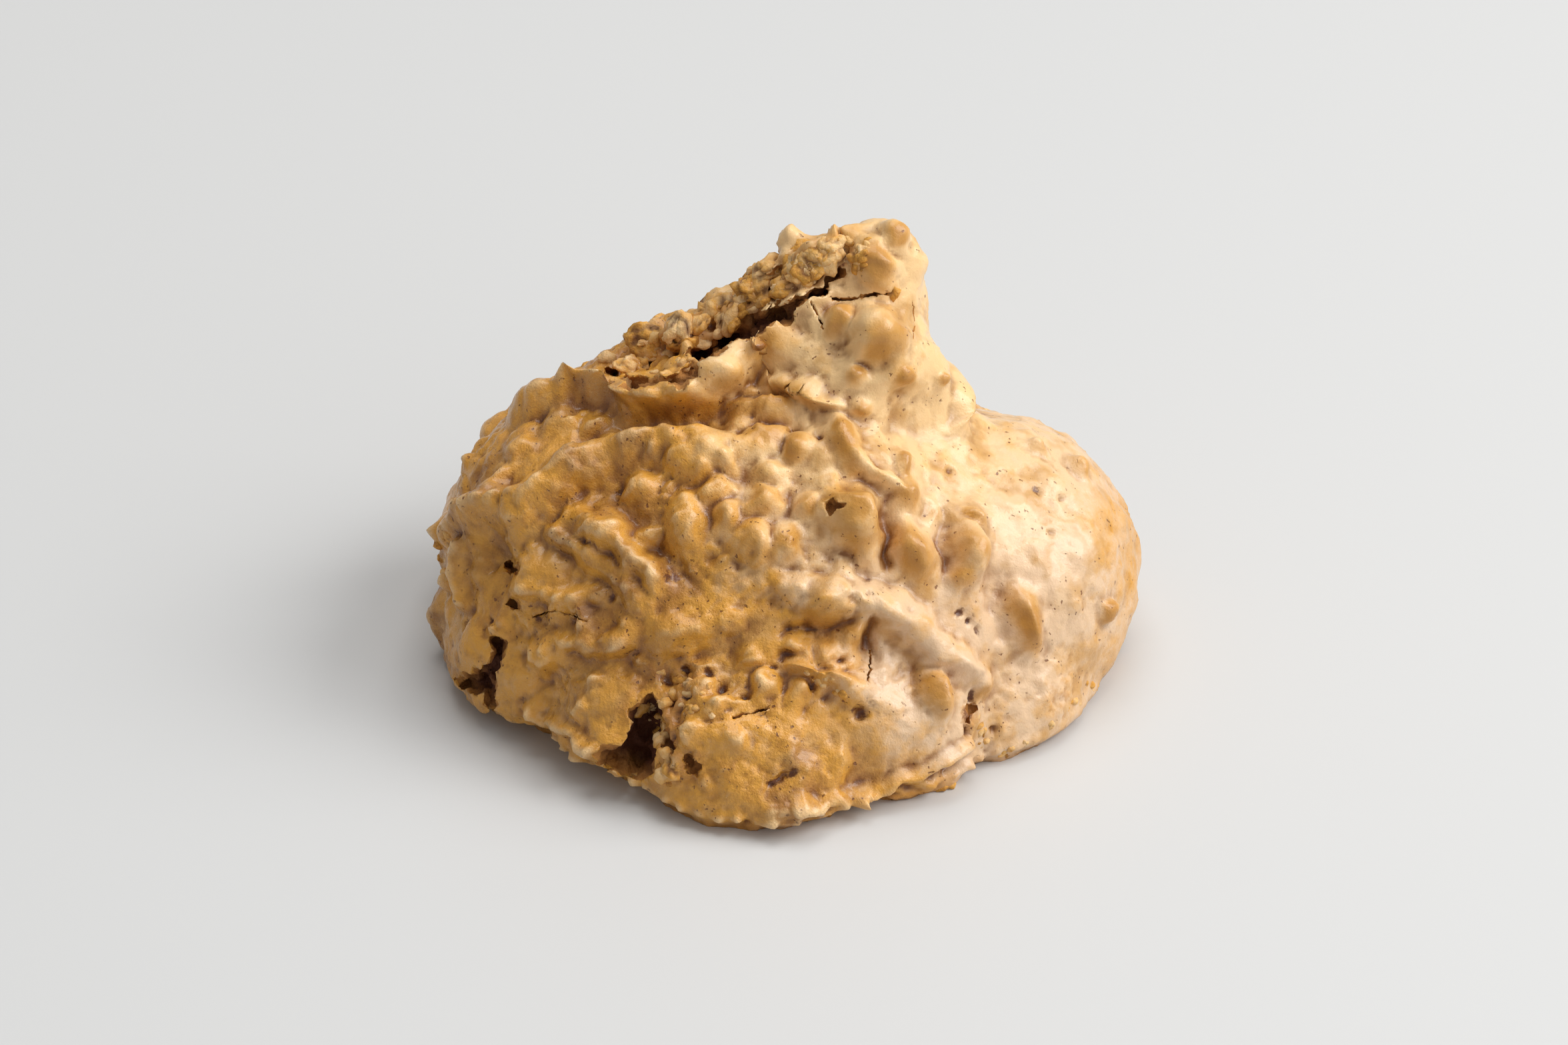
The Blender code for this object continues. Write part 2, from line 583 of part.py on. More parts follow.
def stand(item):
    """Fits the cookie to its size and puts the centre of its foot at the origin, flat on the floor."""
    corners = item.data.vertices
    low = Vector([min(corner.co[i] for corner in corners) for i in range(3)])
    high = Vector([max(corner.co[i] for corner in corners) for i in range(3)])
    size = Vector((WIDTH, DEPTH, HEIGHT)) * MM
    scale = Matrix.Diagonal([size[i] / (high[i] - low[i]) for i in range(3)]).to_4x4()
    foot = Vector(((low.x + high.x) / 2, (low.y + high.y) / 2, low.z))
    item.data.transform(scale @ Matrix.Translation(-foot))


def crust_material():
    material = bpy.data.materials.new("baked meringue crust")
    material.use_nodes = True
    shader = material.node_tree.nodes["Principled BSDF"]
    shader.inputs["Base Color"].default_value = CRUST_COLOUR
    shader.inputs["Roughness"].default_value = CRUST_ROUGHNESS
    shader.inputs["Metallic"].default_value = 0.0
    return material


def main():
    clear_scene()
    noise.seed_set(SEED)
    cookie = body_of("cookie", [ball(centre, radii) for centre, radii in SPOONFULS.values()], 4)
    collect("brutti ma buoni", cookie)
    fuse(cookie, HEAP_VOXEL, HEAP_ROUNDS)
    surface = surface_of(cookie)
    luck = random.Random(SEED)
    nuts = [*seen_bumps(LUMPS, surface), *hidden_nuts(surface, luck)]
    folds = [*fold_bumps(surface), *hidden_folds(surface, luck)]
    lumps = nuts + [*small_bumps(surface, luck), *ridge_bumps(surface, luck)]
    drape(cookie, lumps, folds, list(seen_bumps(HOLLOWS, surface)))
    cut_floor(cookie, 0)
    thin_out(cookie, HEAP_TRIANGLES)
    cracks = body_of("cracks", crack_balls(surface_of(cookie)), 2)
    bpy.context.collection.objects.link(cracks)
    fuse(cracks, CUTTER_VOXEL, 1)
    thin_out(cracks, CUTTER_TRIANGLES)
    cut(cookie, cracks, "DIFFERENCE")
    bpy.data.objects.remove(cracks)
    cut_floor(cookie, FLOOR_TRIM)
    drop_scraps(cookie)
    stand(cookie)
    cookie.data.materials.append(crust_material())
    cookie.data.shade_smooth()


main()
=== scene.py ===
"""Brutti ma buoni cookie: the looks of one baked hazelnut meringue lump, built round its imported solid.

The crust is made again at a fine grain, in the same way and from the same sizes as the solid: spoonfuls
of meringue in a heap, a skin draped over nuts and folds, then cracks. Sizes are in millimetres until
MM turns them into metres.
"""
import math
import random

import bmesh
import bpy
import numpy as np
from bpy.props import FloatProperty, FloatVectorProperty, IntProperty, PointerProperty
from bpy.types import Operator, Panel, PropertyGroup
from mathutils import Matrix, Vector, noise
from mathutils.bvhtree import BVHTree


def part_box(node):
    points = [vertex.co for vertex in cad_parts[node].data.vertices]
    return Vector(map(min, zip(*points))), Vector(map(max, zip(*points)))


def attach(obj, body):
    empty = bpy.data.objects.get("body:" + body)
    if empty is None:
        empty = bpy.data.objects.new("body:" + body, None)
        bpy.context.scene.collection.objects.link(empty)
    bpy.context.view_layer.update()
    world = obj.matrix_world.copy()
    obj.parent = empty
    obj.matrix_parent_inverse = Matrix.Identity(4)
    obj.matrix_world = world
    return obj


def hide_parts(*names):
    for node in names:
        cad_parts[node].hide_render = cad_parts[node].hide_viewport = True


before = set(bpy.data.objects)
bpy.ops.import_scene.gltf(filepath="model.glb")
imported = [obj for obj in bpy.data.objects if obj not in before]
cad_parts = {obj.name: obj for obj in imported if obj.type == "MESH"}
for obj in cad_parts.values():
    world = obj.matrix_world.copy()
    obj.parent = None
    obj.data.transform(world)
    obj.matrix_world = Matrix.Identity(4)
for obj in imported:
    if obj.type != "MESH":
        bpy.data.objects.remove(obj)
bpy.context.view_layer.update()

bl_info = {
    "name": "Brutti ma buoni cookie",
    "version": (1, 0, 0),
    "blender": (4, 5, 0),
    "location": "View3D > Sidebar > Cookie",
    "description": "A rough hazelnut meringue cookie with a split crest",
    "category": "Add Mesh",
}

MM = 0.001
NODE = "cookie"
ROOT = "root"

# The eye of the photograph: how far above the floor it looks down, and from how far away.
EYE_ELEVATION = math.radians(34.0)
EYE_DISTANCE = 808.0
EYE_BACK = Vector((0, -math.cos(EYE_ELEVATION), math.sin(EYE_ELEVATION)))
EYE_UP = Vector((0, math.sin(EYE_ELEVATION), math.cos(EYE_ELEVATION)))
EYE_RIGHT = Vector((1, 0, 0))

# Spoonfuls: centre and radii of each rounded mass of the heap.
SPOONFULS = {
    "heap": ((-0.5, 2.0, 3), (28.5, 22.8, 22.5)),
    "left_shoulder": ((-13.5, 3, 9.3), (15.5, 16.5, 14)),
    "right_shoulder": ((17.6, 3.4, 6.4), (13.4, 15.5, 13.6)),
    "front_foot": ((-2.6, -13.2, 1.2), (13.5, 14.8, 11)),
    "left_foot": ((-17, -3, 4), (12, 12.5, 8.5)),
    "left_front": ((-10.5, -11.6, 3.3), (9.5, 11.5, 8)),
    "right_lobe": ((6, -10.5, 3.5), (13.5, 13.3, 9)),
    "right_foot": ((16.5, -4.2, 1.6), (10.8, 13.2, 9.2)),
    "front_strip": ((8.5, -17.4, 0.8), (8, 6.4, 2.4)),
    "right_saddle": ((13.2, 4, 14), (7, 8, 8.2)),
    "brow": ((4, -2, 17), (11, 9, 9)),
    "neck": ((7.0, 3.5, 23.5), (7.8, 6.5, 9.5)),
    "lip": ((-5, 4, 19.5), (9, 6, 9)),
    "crest_left": ((-11.8, 7.8, 16.8), (8.5, 7, 8.4)),
    "crest_middle": ((-5, 9, 21), (8, 6.5, 8.5)),
    "crest_right": ((0.5, 9, 26), (6.5, 5.5, 7)),
    "crest_top": ((4.0, 8.8, 30.3), (5, 4.5, 6.2)),
    "peak": ((8.1, 7.8, 29), (4.5, 4.6, 7.5)),
    "knob": ((8.9, 8.9, 34.4), (3.6, 3.2, 3.9)),
    "nib": ((0.9, 10.0, 34.9), (1.3, 1.3, 2.9)),
}

# Hazelnut pieces under the skin: seen right, seen up, long radius, short radius, turn in degrees from
# the right, and how far the piece stands out.
LUMPS = (
    (10.1, 35.9, 1.3, 1.0, 90, 0.9),
    (6.4, 35.4, 1.5, 1.2, 20, 0.8),
    (8.3, 33.2, 2.3, 1.8, 110, 1.0),
    (4.2, 33.8, 1.2, 0.9, 30, 0.8),
    (0.4, 26.6, 2.7, 2.2, 60, 2.1),
    (8.9, 26.8, 2.5, 2.1, 100, 2.2),
    (5.4, 28.4, 1.6, 1.3, 80, 0.9),
    (6.7, 23.8, 1.0, 0.8, 0, 0.6),
    (7.0, 21.2, 1.0, 0.7, 0, 0.6),
    (11.0, 24.0, 1.2, 0.9, 0, 0.5),
    (14.2, 23.6, 0.7, 0.6, 0, 0.6),
    (5.9, 18.0, 2.5, 1.2, 100, 2.0),
    (-0.6, 20.5, 2.6, 1.6, 10, 1.3),
    (-3.4, 20.6, 1.4, 1.1, 40, 0.9),
    (-1.2, 18.1, 1.9, 1.3, 30, 1.0),
    (1.8, 17.7, 1.6, 1.2, 80, 0.8),
    (-5.9, 21.2, 1.0, 0.8, 0, 0.8),
    (-4.4, 23.4, 1.0, 0.8, 0, 0.7),
    (-2.8, 22.4, 0.8, 0.7, 0, 0.5),
    (2.8, 21.8, 1.7, 0.8, 160, 0.8),
    (10.8, 16.0, 1.6, 0.7, 80, 0.9),
    (11.3, 13.4, 1.7, 1.2, 60, 1.3),
    (5.8, 11.2, 3.3, 2.5, 130, 2.0),
    (6.9, 9.0, 1.6, 1.2, 100, 1.0),
    (2.2, 12.2, 1.4, 1.2, 60, 0.9),
    (11.8, 8.0, 2.7, 1.6, 100, 2.4),
    (16.2, 8.6, 2.2, 1.9, 95, 2.6),
    (15.6, 6.3, 1.2, 1.0, 0, 0.9),
    (16.8, 11.4, 1.1, 0.9, 100, 1.0),
    (21.3, 2.8, 2.7, 1.4, 105, 2.2),
    (13.3, -3.8, 2.1, 1.4, 95, 2.0),
    (17.6, -2.9, 1.3, 1.0, 60, 1.2),
    (22.5, 17.8, 0.9, 0.8, 0, 0.9),
    (26.0, 16.2, 1.0, 0.8, 90, 0.9),
    (28.4, 3.8, 0.9, 0.8, 0, 0.9),
    (-8.3, 15.5, 1.4, 1.1, 0, 1.1),
    (-6.8, 14.9, 1.1, 0.9, 0, 1.0),
    (-5.4, 13.5, 1.6, 1.1, 60, 1.1),
    (-4.4, 15.7, 0.9, 0.8, 0, 0.7),
    (-8.1, 11.0, 2.1, 1.5, 100, 1.2),
    (-4.5, 11.2, 1.5, 1.2, 70, 1.1),
    (-2.2, 9.0, 2.1, 1.5, 120, 1.4),
    (0.7, 9.4, 1.7, 1.2, 60, 0.9),
    (-1.5, 12.8, 1.6, 1.2, 30, 0.9),
    (-12.0, 13.4, 1.8, 1.2, 30, 0.8),
    (-14.4, 9.6, 2.3, 1.3, 160, 0.9),
    (-11.3, 9.4, 1.6, 1.2, 60, 0.7),
    (-20.0, 7.0, 1.9, 1.3, 160, 0.7),
    (-17.6, 11.4, 1.6, 1.2, 20, 0.7),
    (-8.2, 2.1, 3.2, 1.7, 15, 1.2),
    (-12.8, 1.6, 1.6, 1.2, 40, 0.7),
    (-2.6, -0.8, 1.2, 0.9, 60, 1.1),
    (-1.0, -3.2, 1.5, 1.0, 100, 1.4),
    (2.0, -1.6, 1.3, 1.0, 150, 1.4),
    (4.2, -2.5, 1.6, 1.1, 150, 1.5),
    (6.0, -3.7, 1.3, 1.0, 155, 1.4),
    (3.6, 3.3, 2.2, 1.4, 20, 1.4),
    (6.2, 1.6, 1.5, 1.2, 60, 1.5),
    (4.1, 0.5, 1.1, 0.9, 0, 1.2),
    (1.6, -4.4, 1.3, 0.9, 60, 0.9),
    (-5.6, -5.2, 1.4, 1.1, 30, 1.0),
    (-7.2, -7.3, 1.5, 1.2, 60, 1.1),
    (-3.6, -7.5, 1.4, 1.0, 120, 0.8),
    (-15.7, -2.7, 0.9, 0.7, 0, 0.7),
    (-20.4, -1.2, 1.6, 1.1, 50, 0.5),
    (-26.5, 16.6, 1.5, 1.1, 50, 0.9),
    (-25.6, 12.3, 1.6, 0.9, 20, 0.9),
    (-28.9, 10.5, 1.2, 1.0, 50, 1.1),
    (-28.4, 6.4, 1.1, 0.8, 90, 0.8),
    (-13.5, 0.8, 1.1, 0.9, 0, 0.5),
    (-20.4, 20.6, 1.4, 1.0, 20, 0.7),
    (-17.4, 21.7, 1.2, 0.9, 0, 0.6),
    (-14.8, 21.5, 1.3, 1.0, 0, 0.7),
    (-12.2, 21.2, 1.1, 0.9, 0, 0.6),
    (-9.9, 21.3, 1.2, 0.9, 20, 0.6),
    (-7.7, 21.9, 1.0, 0.8, 40, 0.6),
    (-16.0, 19.6, 0.9, 0.7, 0, 0.4),
    (-22.4, 17.6, 1.2, 0.9, 60, 0.5),
    (-24.0, 14.8, 1.3, 0.9, 40, 0.5),
)

# Folds of meringue: radius, how far they stand out, and the way they run.
FOLDS = (
    (1.7, 1.2, ((-21, 21.2), (-16, 22.2), (-11, 21.6), (-7, 22.6), (-3.6, 25.2), (-0.4, 28.2), (2.6, 29.8))),
    (1.8, 0.9, ((-21.5, 12.4), (-17.8, 15.4), (-13.5, 17.4), (-9, 17.6), (-4.6, 16.6))),
    (1.5, 0.8, ((3.0, 5.0), (7.4, 4.4), (11, 2.6), (14, -0.2), (16.4, -1.8))),
    (1.2, 0.9, ((-28.3, 11.0), (-26.6, 12.6), (-24.0, 12.8))),
    (1.1, 0.7, ((-16.5, 10.6), (-14, 9.8), (-12.4, 7.4), (-10.5, 6.4))),
    (0.9, 0.7, ((-27.4, 9.4), (-27.6, 7.2), (-27.2, 5.0))),
    (0.8, 0.6, ((-1.2, 22.9), (1.0, 23.2), (3.4, 22.6), (4.6, 21.6))),
    (0.7, 0.5, ((7.0, 16.2), (8.4, 15.0), (9.8, 14.2))),
    (0.6, 0.9, ((-1.0, -14.2), (2.8, -13.4), (7.6, -11.9), (10.0, -11.2), (14.0, -9.6), (16.2, -8.2))),
    (0.6, 0.8, ((-21.5, -5.0), (-18.5, -6.6), (-15.6, -8.6))),
    (2.6, 0.6, ((1.0, -0.4), (4.0, -1.8), (7.0, -3.4))),
    (0.9, 0.5, ((-19.5, 10.6), (-16.0, 8.2), (-13.4, 6.2), (-11.6, 3.6))),
    (0.8, 0.4, ((-22.0, 5.6), (-18.8, 5.0), (-15.2, 4.9))),
    (1.0, 0.4, ((-21.0, -0.4), (-18.0, 0.8), (-14.6, 0.6))),
)

# Hollows between the lumps: seen right, seen up, long radius, short radius, turn and depth.
HOLLOWS = (
    (8.2, 25.0, 1.9, 1.1, 20, 0.8),
    (4.8, 26.6, 1.3, 1.9, 0, 0.6),
    (-11.0, 19.0, 7.0, 1.6, 5, 0.45),
    (0.6, -0.3, 1.2, 0.9, 60, 1.2),
    (2.4, 1.6, 2.6, 1.2, 10, 0.9),
    (-24.6, 7.6, 3.0, 2.0, 100, 1.3),
    (14.4, 9.4, 1.0, 3.0, 0, 0.7),
    (12.0, 20.6, 3.4, 2.6, 0, 0.7),
    (9.2, 10.0, 0.9, 3.0, 0, 0.9),
    (19.0, 5.0, 1.4, 3.4, 0, 0.6),
    (-9.6, 8.0, 3.0, 1.2, 140, 0.6),
    (7.9, 0.6, 0.7, 2.6, 0, 0.7),
    (9.0, -12.7, 4.0, 0.6, 20, 0.9),
    (14.8, -10.4, 2.4, 0.6, 35, 0.8),
)

# Cracks and holes: half width, depth, and the way they run.
CRACKS = (
    (0.42, 4.0, ((4.2, 31.3), (2.2, 30.7), (0.2, 29.6))),
    (0.95, 6.5, ((0.2, 29.6), (-3.4, 27.8), (-6.6, 26.0))),
    (0.55, 4.0, ((-6.6, 25.9), (-8.2, 24.3))),
    (0.85, 3.5, ((-7.8, 24.1), (-8.9, 23.6))),
    (0.5, 3.0, ((-8.9, 23.7), (-11.2, 23.5))),
    (0.85, 3.5, ((-11.4, 23.8), (-12.8, 23.4))),
    (0.5, 2.5, ((-12.8, 23.6), (-14.8, 24.8))),
    (0.6, 2.5, ((-11.2, 25.0), (-11.7, 26.4))),
    (0.5, 2.2, ((-3.4, 29.0), (-2.2, 29.7))),
    (0.55, 2.0, ((-0.9, 32.3), (0.1, 32.9))),
    (0.45, 2.0, ((4.2, 32.4), (5.4, 33.0))),
    (1.3, 5.5, ((-11.6, -5.2), (-12.0, -6.8), (-12.4, -8.6), (-12.2, -9.8))),
    (0.95, 4.5, ((-12.8, -8.8), (-15.0, -9.5))),
    (0.55, 4.0, ((-24.2, 0.9), (-24.4, -0.8))),
    (0.9, 4.5, ((-24.8, -1.4), (-26.0, -2.3), (-27.2, -2.6))),
    (0.6, 3.0, ((-25.0, -3.0), (-25.0, -5.0))),
    (0.6, 2.2, ((-23.3, 7.8), (-22.7, 7.2))),
    (0.5, 1.8, ((-23.3, 4.1), (-22.8, 3.9))),
    (0.55, 1.8, ((4.4, 12.7), (5.1, 12.6))),
    (0.5, 1.8, ((-9.7, -7.6), (-9.3, -8.8))),
    (0.6, 1.6, ((-7.8, -10.0), (-7.2, -10.5))),
    (0.45, 1.6, ((16.6, -4.8), (16.4, -5.8))),
)

# Small pits with soft edges, painted deep brown as the shade inside them: seen right, seen up, radius and
# depth.
PITS = (
    (-24.6, 2.9, 0.45, 0.8), (-27.2, 2.4, 0.5, 0.9), (-9.0, 6.3, 0.6, 0.8), (-14.2, 4.7, 0.45, 0.7),
    (18.8, -6.8, 0.5, 0.8), (-10.0, -2.6, 0.6, 1.1), (-6.2, -2.3, 0.55, 1.1), (-8.2, -1.6, 0.5, 0.9),
    (0.8, -0.2, 0.65, 1.3), (-0.2, -1.8, 0.5, 1.1), (6.8, -5.3, 0.7, 1.1), (16.8, -4.0, 0.5, 1.0),
    (16.3, -6.9, 0.5, 1.1), (-2.0, 8.0, 0.5, 0.6), (-3.0, -4.2, 0.45, 0.7), (-7.6, -4.0, 0.55, 1.0),
    (-9.2, -4.4, 0.5, 0.9), (3.2, 0.2, 0.55, 1.0), (5.0, -1.0, 0.55, 1.0), (2.8, -3.4, 0.5, 0.9),
    (-5.0, -3.4, 0.45, 0.8), (10.8, 3.4, 0.55, 0.4), (15.6, 3.3, 0.45, 0.5), (16.4, 2.4, 0.5, 0.5),
    (17.2, 1.6, 0.45, 0.5), (22.6, 14.2, 0.4, 0.3), (24.8, 13.6, 0.4, 0.3), (24.0, 10.4, 0.4, 0.3),
    (-20.5, 3.0, 0.35, 0.4), (-17.6, 2.9, 0.35, 0.4), (-13.8, 13.9, 0.5, 0.6), (-12.9, 13.4, 0.35, 0.4),
    (0.2, -11.0, 0.55, 0.6), (1.2, -10.6, 0.45, 0.5), (-0.8, -11.6, 0.45, 0.5), (-9.6, -9.6, 0.55, 0.9),
    (-10.2, -6.4, 0.5, 0.9), (1.4, 19.2, 0.45, 0.5), (-1.9, 19.9, 0.4, 0.5), (3.4, 18.6, 0.4, 0.4),
    (-5.2, 24.6, 0.35, 0.4), (7.6, 5.9, 0.4, 0.4), (-26.8, 16.2, 0.5, 0.6), (14.8, 15.9, 0.4, 0.4),
)

# Hairline splits of the dry skin: width, depth, and the way they run.
HAIRLINES = (
    (0.28, 1.2, ((4.6, 30.6), (7.0, 30.6), (9.0, 30.9), (10.2, 31.1))),
    (0.18, 0.8, ((2.8, 30.4), (3.4, 29.2), (3.9, 27.8))),
    (0.15, 0.7, ((11.6, 30.4), (11.8, 28.6), (11.7, 27.2))),
    (0.26, 0.9, ((0.5, 22.6), (1.2, 22.4), (1.9, 22.4))),
    (0.24, 0.9, ((-4.0, -5.9), (-2.4, -5.6), (-0.8, -5.3))),
    (0.18, 0.7, ((7.9, 0.2), (8.0, -1.2), (7.8, -2.6))),
    (0.15, 0.6, ((-21.4, 3.1), (-19.0, 3.3), (-16.6, 2.7))),
)

# Rough places where small nut crumbs push through the skin: seen right, seen up, radius and strength.
ROUGH_PLACES = (
    (4.0, 34.0, 2.8, 1.0), (-8.2, -2.8, 2.8, 1.0), (-9.4, -7.4, 2.3, 1.0), (3.6, -1.6, 4.2, 0.7),
    (-9.0, -5.0, 2.0, 0.9), (-7.6, -10.0, 1.8, 0.9), (6.4, 4.4, 1.6, 0.8), (-22.0, -5.2, 2.0, 0.6),
    (-13.0, 4.0, 4.5, 0.35), (16.6, -5.6, 1.5, 0.9), (-24.5, 3.0, 2.6, 0.6), (-13.8, 13.6, 3.0, 0.4),
    (-1.6, 19.6, 3.0, 0.4), (-7.5, -10.3, 1.4, 0.8), (8.0, -13.6, 3.0, 0.5), (-2.0, -14.0, 3.0, 0.2),
    (24.5, -3.6, 3.0, 0.5), (-28.6, 8.4, 2.6, 0.6), (-5.5, 22.6, 2.6, 0.3), (5.4, 4.6, 1.6, 0.5),
)

# Places where brown nut skin shows: seen right, seen up and radius.
NUT_SKIN = (
    (-2.1, 8.2, 1.1), (-9.0, 6.3, 0.8), (6.7, -5.2, 0.9), (-7.5, -10.3, 1.1), (-9.4, -8.2, 1.0),
    (-26.8, 16.4, 0.9), (16.5, -5.4, 1.2), (18.7, -6.8, 0.7), (4.8, 12.7, 0.9), (-8.4, 15.8, 0.7),
    (4.8, 33.4, 1.5), (6.4, 35.6, 0.9), (0.0, 32.6, 0.8), (14.3, 23.7, 0.6), (-14.2, 4.7, 0.5),
    (-0.2, -11.2, 0.8), (-14.0, 13.8, 0.5), (5.0, 4.8, 0.7), (-12.0, 25.4, 1.0), (-13.6, 24.8, 0.8),
)

SEED = 7
RISE = 1.65  # how much farther the skin stands out than the piece under it
STEEPEST = 1.3  # the tallest that a bump may be, as a share of its smallest radius
CAP_SHAPE = 1.4  # how square the cap of a fold is: 1 is a bell, more has a flat top and steep sides
NUT_SHAPES = (1.05, 1.7)  # the same for pieces of nut
LEAN = 0.4  # the most that the top of a nut is shifted, as a share of its radius

# The side that the eye doesn't see is made by chance, of the same kinds of things.
HIDDEN_FROM = -0.15  # from which lean of the skin away from the eye
HEAP_MIDDLE = Vector((0, 3, 4))
PEAK_FOOT = 27.0  # how high the hidden pieces reach, below the slim peak
HIDDEN_LUMPS = 170  # pieces of hazelnut tried there
HIDDEN_LUMP_SIZES = (1.2, 1.6, 2.2, 3.0, 4.0)
HIDDEN_FOLDS = 26  # folds of meringue tried there
HIDDEN_FOLD_RADII = (1.2, 2.0)
HIDDEN_ROUGH = 34  # rough places, and places with bare nut skin, tried there
HIDDEN_ROUGH_RADII = (1.5, 4.0)
HIDDEN_NUT_SKIN_RADII = (0.5, 1.2)
SMALL_LUMPS = 240  # crumbs of hazelnut under the skin all over
SMALL_LUMP_SIZES = (0.7, 2.0)
RIDGE_CRUMBS = 90  # broken meringue on the crest above its crack
RIDGE_CRUMB_SIZES = (0.6, 1.5)
RIDGE_STRAY = 1.5
RIDGE_ROUGH = 2.4

# The skin itself: how wide and how high each unevenness is.
SWELL_WIDTH, SWELL_HEIGHT = 9.0, 0.5
UNEVEN_WIDTH, UNEVEN_HEIGHT = 2.8, 0.36
BITS_WIDTH, BITS_HEIGHT, BITS_PATCH = 2.6, 0.85, 7.5
WRINKLE_WIDTH, WRINKLE_BEND = 1.5, (1.6, 0.6)
GRAIN_PATCH, CRUMBLE_WIDTHS = 4.0, (1.25, 0.9)
BEND_WIDE, BEND_FINE = (2.2, 0.6), (0.9, 0.18)
SMOOTH_SIDE = -25.0  # left of here the rough places fade out

# The foot: where the skin overhangs on the left and where it spreads flat in front, as a middle and a
# half width along X, how far it tucks under, and the torn edge above, which ends before the sides.
OVERHANG = (-16.0, 8.5)
SPREAD = (-3.0, 6.0)
FOOT_TUCK, OVERHANG_TUCK = 1.2, 2.4
FOOT_HEIGHT, OVERHANG_HEIGHT = 0.55, 1.3
EDGE_LEVEL, EDGE_LIFT, EDGE_HEIGHT, EDGE_OUT = 1.5, 0.6, 0.5, 0.75
EDGE_END, EDGE_FADE = 21.0, 1.5
FOOT_PATCH, EDGE_PATCH = 4.5, 1.1

HEAP_VOXEL = 0.62
HEAP_ROUNDS = 20  # of smoothing, until the spoonfuls have run together
CUTTER_VOXEL = 0.32
WALL_PATCH = 1.3  # how wide the crumbs of a broken wall are
FLOOR_TRIM = 0.15
FLOOR_BLOCK = (120, 120, 60)  # what the heap is cut with, to lie flat
HOLLOW_ROUNDS = 14  # of smoothing, to tell creases from bare skin
BROKEN_FROM = 0.12  # how deep under the skin broken meringue begins
DARK_FOOT = 1.7  # how high the foot has browned

# A clinging crumb: how far it is sunk and how low its middle may lie, both as a share of its size, how
# wide its crags are, and the size from which they are full.
CRUMB_SUNK, CRUMB_LOWEST = 0.55, 0.62
CRAG_WIDTHS, CRAGGY_FROM = (1.1, 0.9), 1.1
HIDDEN_CRUMB_SIZES = (0.4, 1.1)

# How wide the grains of each pattern of the materials are: the skin's browned clouds, mottles, thick
# patches, sugar grain, specks and grit, and the bubbles and grit of broken meringue and of loose bits.
# The grits are about as coarse as sugar crystals, the finest that still shows.
CLOUD_WIDTH, MOTTLE_WIDTH, THICK_WIDTH = 8.0, 2.4, 3.8
PATCH_WIDTH, SPECK_WIDTH, GRIT_WIDTH = 0.8, 0.42, 0.2
TORN_WIDTH, BUBBLE_WIDTH, TORN_GRIT_WIDTH = 1.1, 0.7, 0.35
BIT_WIDTH, BIT_GRIT_WIDTH = 0.9, 0.3
HONEY_LEVELS = (14, 26)  # how high the skin starts to be thin and honey-coloured, and is so all over
LIGHT_REACH = 0.8  # how far light passes into meringue
BUMP_FILTER = 0.1  # Blender's own value

# The studio: where each light stands (degrees from the right and above the floor), and its distance
# and size in metres.
LAMPS = {
    "key_light": (0, 42, 0.8, 0.5),
    "top_light": (85, 76, 1.1, 0.7),
    "front_light": (-42, 34, 1.2, 1.0),
}
FLOOR_SIZE = 6.0
CAMERA_REACH = 10.0
AIM_UP = 11.5
SENSOR = 36.0

# The ridge of the split crest, as the eye sees it.
CREST = ((-13.6, 25.8), (-10.5, 26.9), (-7.0, 28.2), (-3.4, 30.2), (-0.6, 32.0), (2.4, 33.4), (5.0, 34.4))

# Crumbs of broken meringue: how many, smallest and largest radius, how far they stray, how flat they
# are (1 is as thick as wide), and the way they run.
CRUMB_RUNS = (
    (34, 1.0, 1.8, 1.0, 0.45, ((-13.0, 25.7), (-9.0, 27.3), (-4.6, 30.0), (-1.0, 32.2), (2.0, 33.3))),
    (12, 0.8, 1.4, 0.9, 0.7, ((1.6, 33.0), (4.0, 34.0), (6.6, 35.2))),
    (70, 0.4, 1.0, 1.4, 0.6, ((-13.8, 25.4), (-9.0, 27.2), (-4.6, 29.8), (-1.0, 32.0), (2.0, 33.1))),
    (34, 0.35, 0.9, 1.3, 0.8, ((1.6, 32.8), (4.4, 33.8), (6.6, 34.8))),
    (16, 0.35, 0.7, 0.3, 0.6, ((-6.8, 27.6), (-3.4, 29.3), (-0.2, 30.9), (3.6, 32.2))),
    (14, 0.4, 0.9, 0.6, 0.6, ((-13.4, 24.2), (-10.6, 24.4), (-8.0, 25.3))),
    (30, 0.3, 0.9, 0.6, 0.8, ((-10.3, -4.8), (-10.0, -7.8), (-9.7, -9.8))),
    (14, 0.5, 1.1, 0.4, 0.6, ((-15.4, -10.4), (-13.0, -11.3), (-11.0, -11.8))),
    (34, 0.3, 0.8, 0.3, 0.6, ((-24.5, -5.0), (-21.0, -6.9), (-18.0, -9.1), (-15.0, -10.6))),
    (60, 0.35, 0.9, 0.3, 0.5, ((-3.0, -15.0), (1.5, -14.6), (5.5, -14.1), (10.5, -12.9), (14.5, -10.3))),
    (22, 0.3, 0.7, 0.4, 0.6, ((18.0, -7.9), (22.5, -5.7), (26.3, -1.9))),
    (22, 0.25, 0.7, 1.6, 0.8, ((-9.8, -2.2), (-6.2, -3.2))),
    (14, 0.25, 0.6, 1.4, 0.8, ((1.0, -1.0), (5.0, -2.4))),
    (8, 0.4, 0.9, 0.6, 0.7, ((-28.7, 10.4), (-28.3, 6.6))),
    (8, 0.3, 0.6, 0.5, 0.8, ((16.7, -4.4), (16.4, -7.0))),
)


def linear(hex_colour):
    """A sRGB hex colour as Blender's linear red, green, blue and alpha."""
    parts = [int(hex_colour[i:i + 2], 16) / 255 for i in (1, 3, 5)]
    return (*[c / 12.92 if c <= 0.04045 else ((c + 0.055) / 1.055) ** 2.4 for c in parts], 1.0)


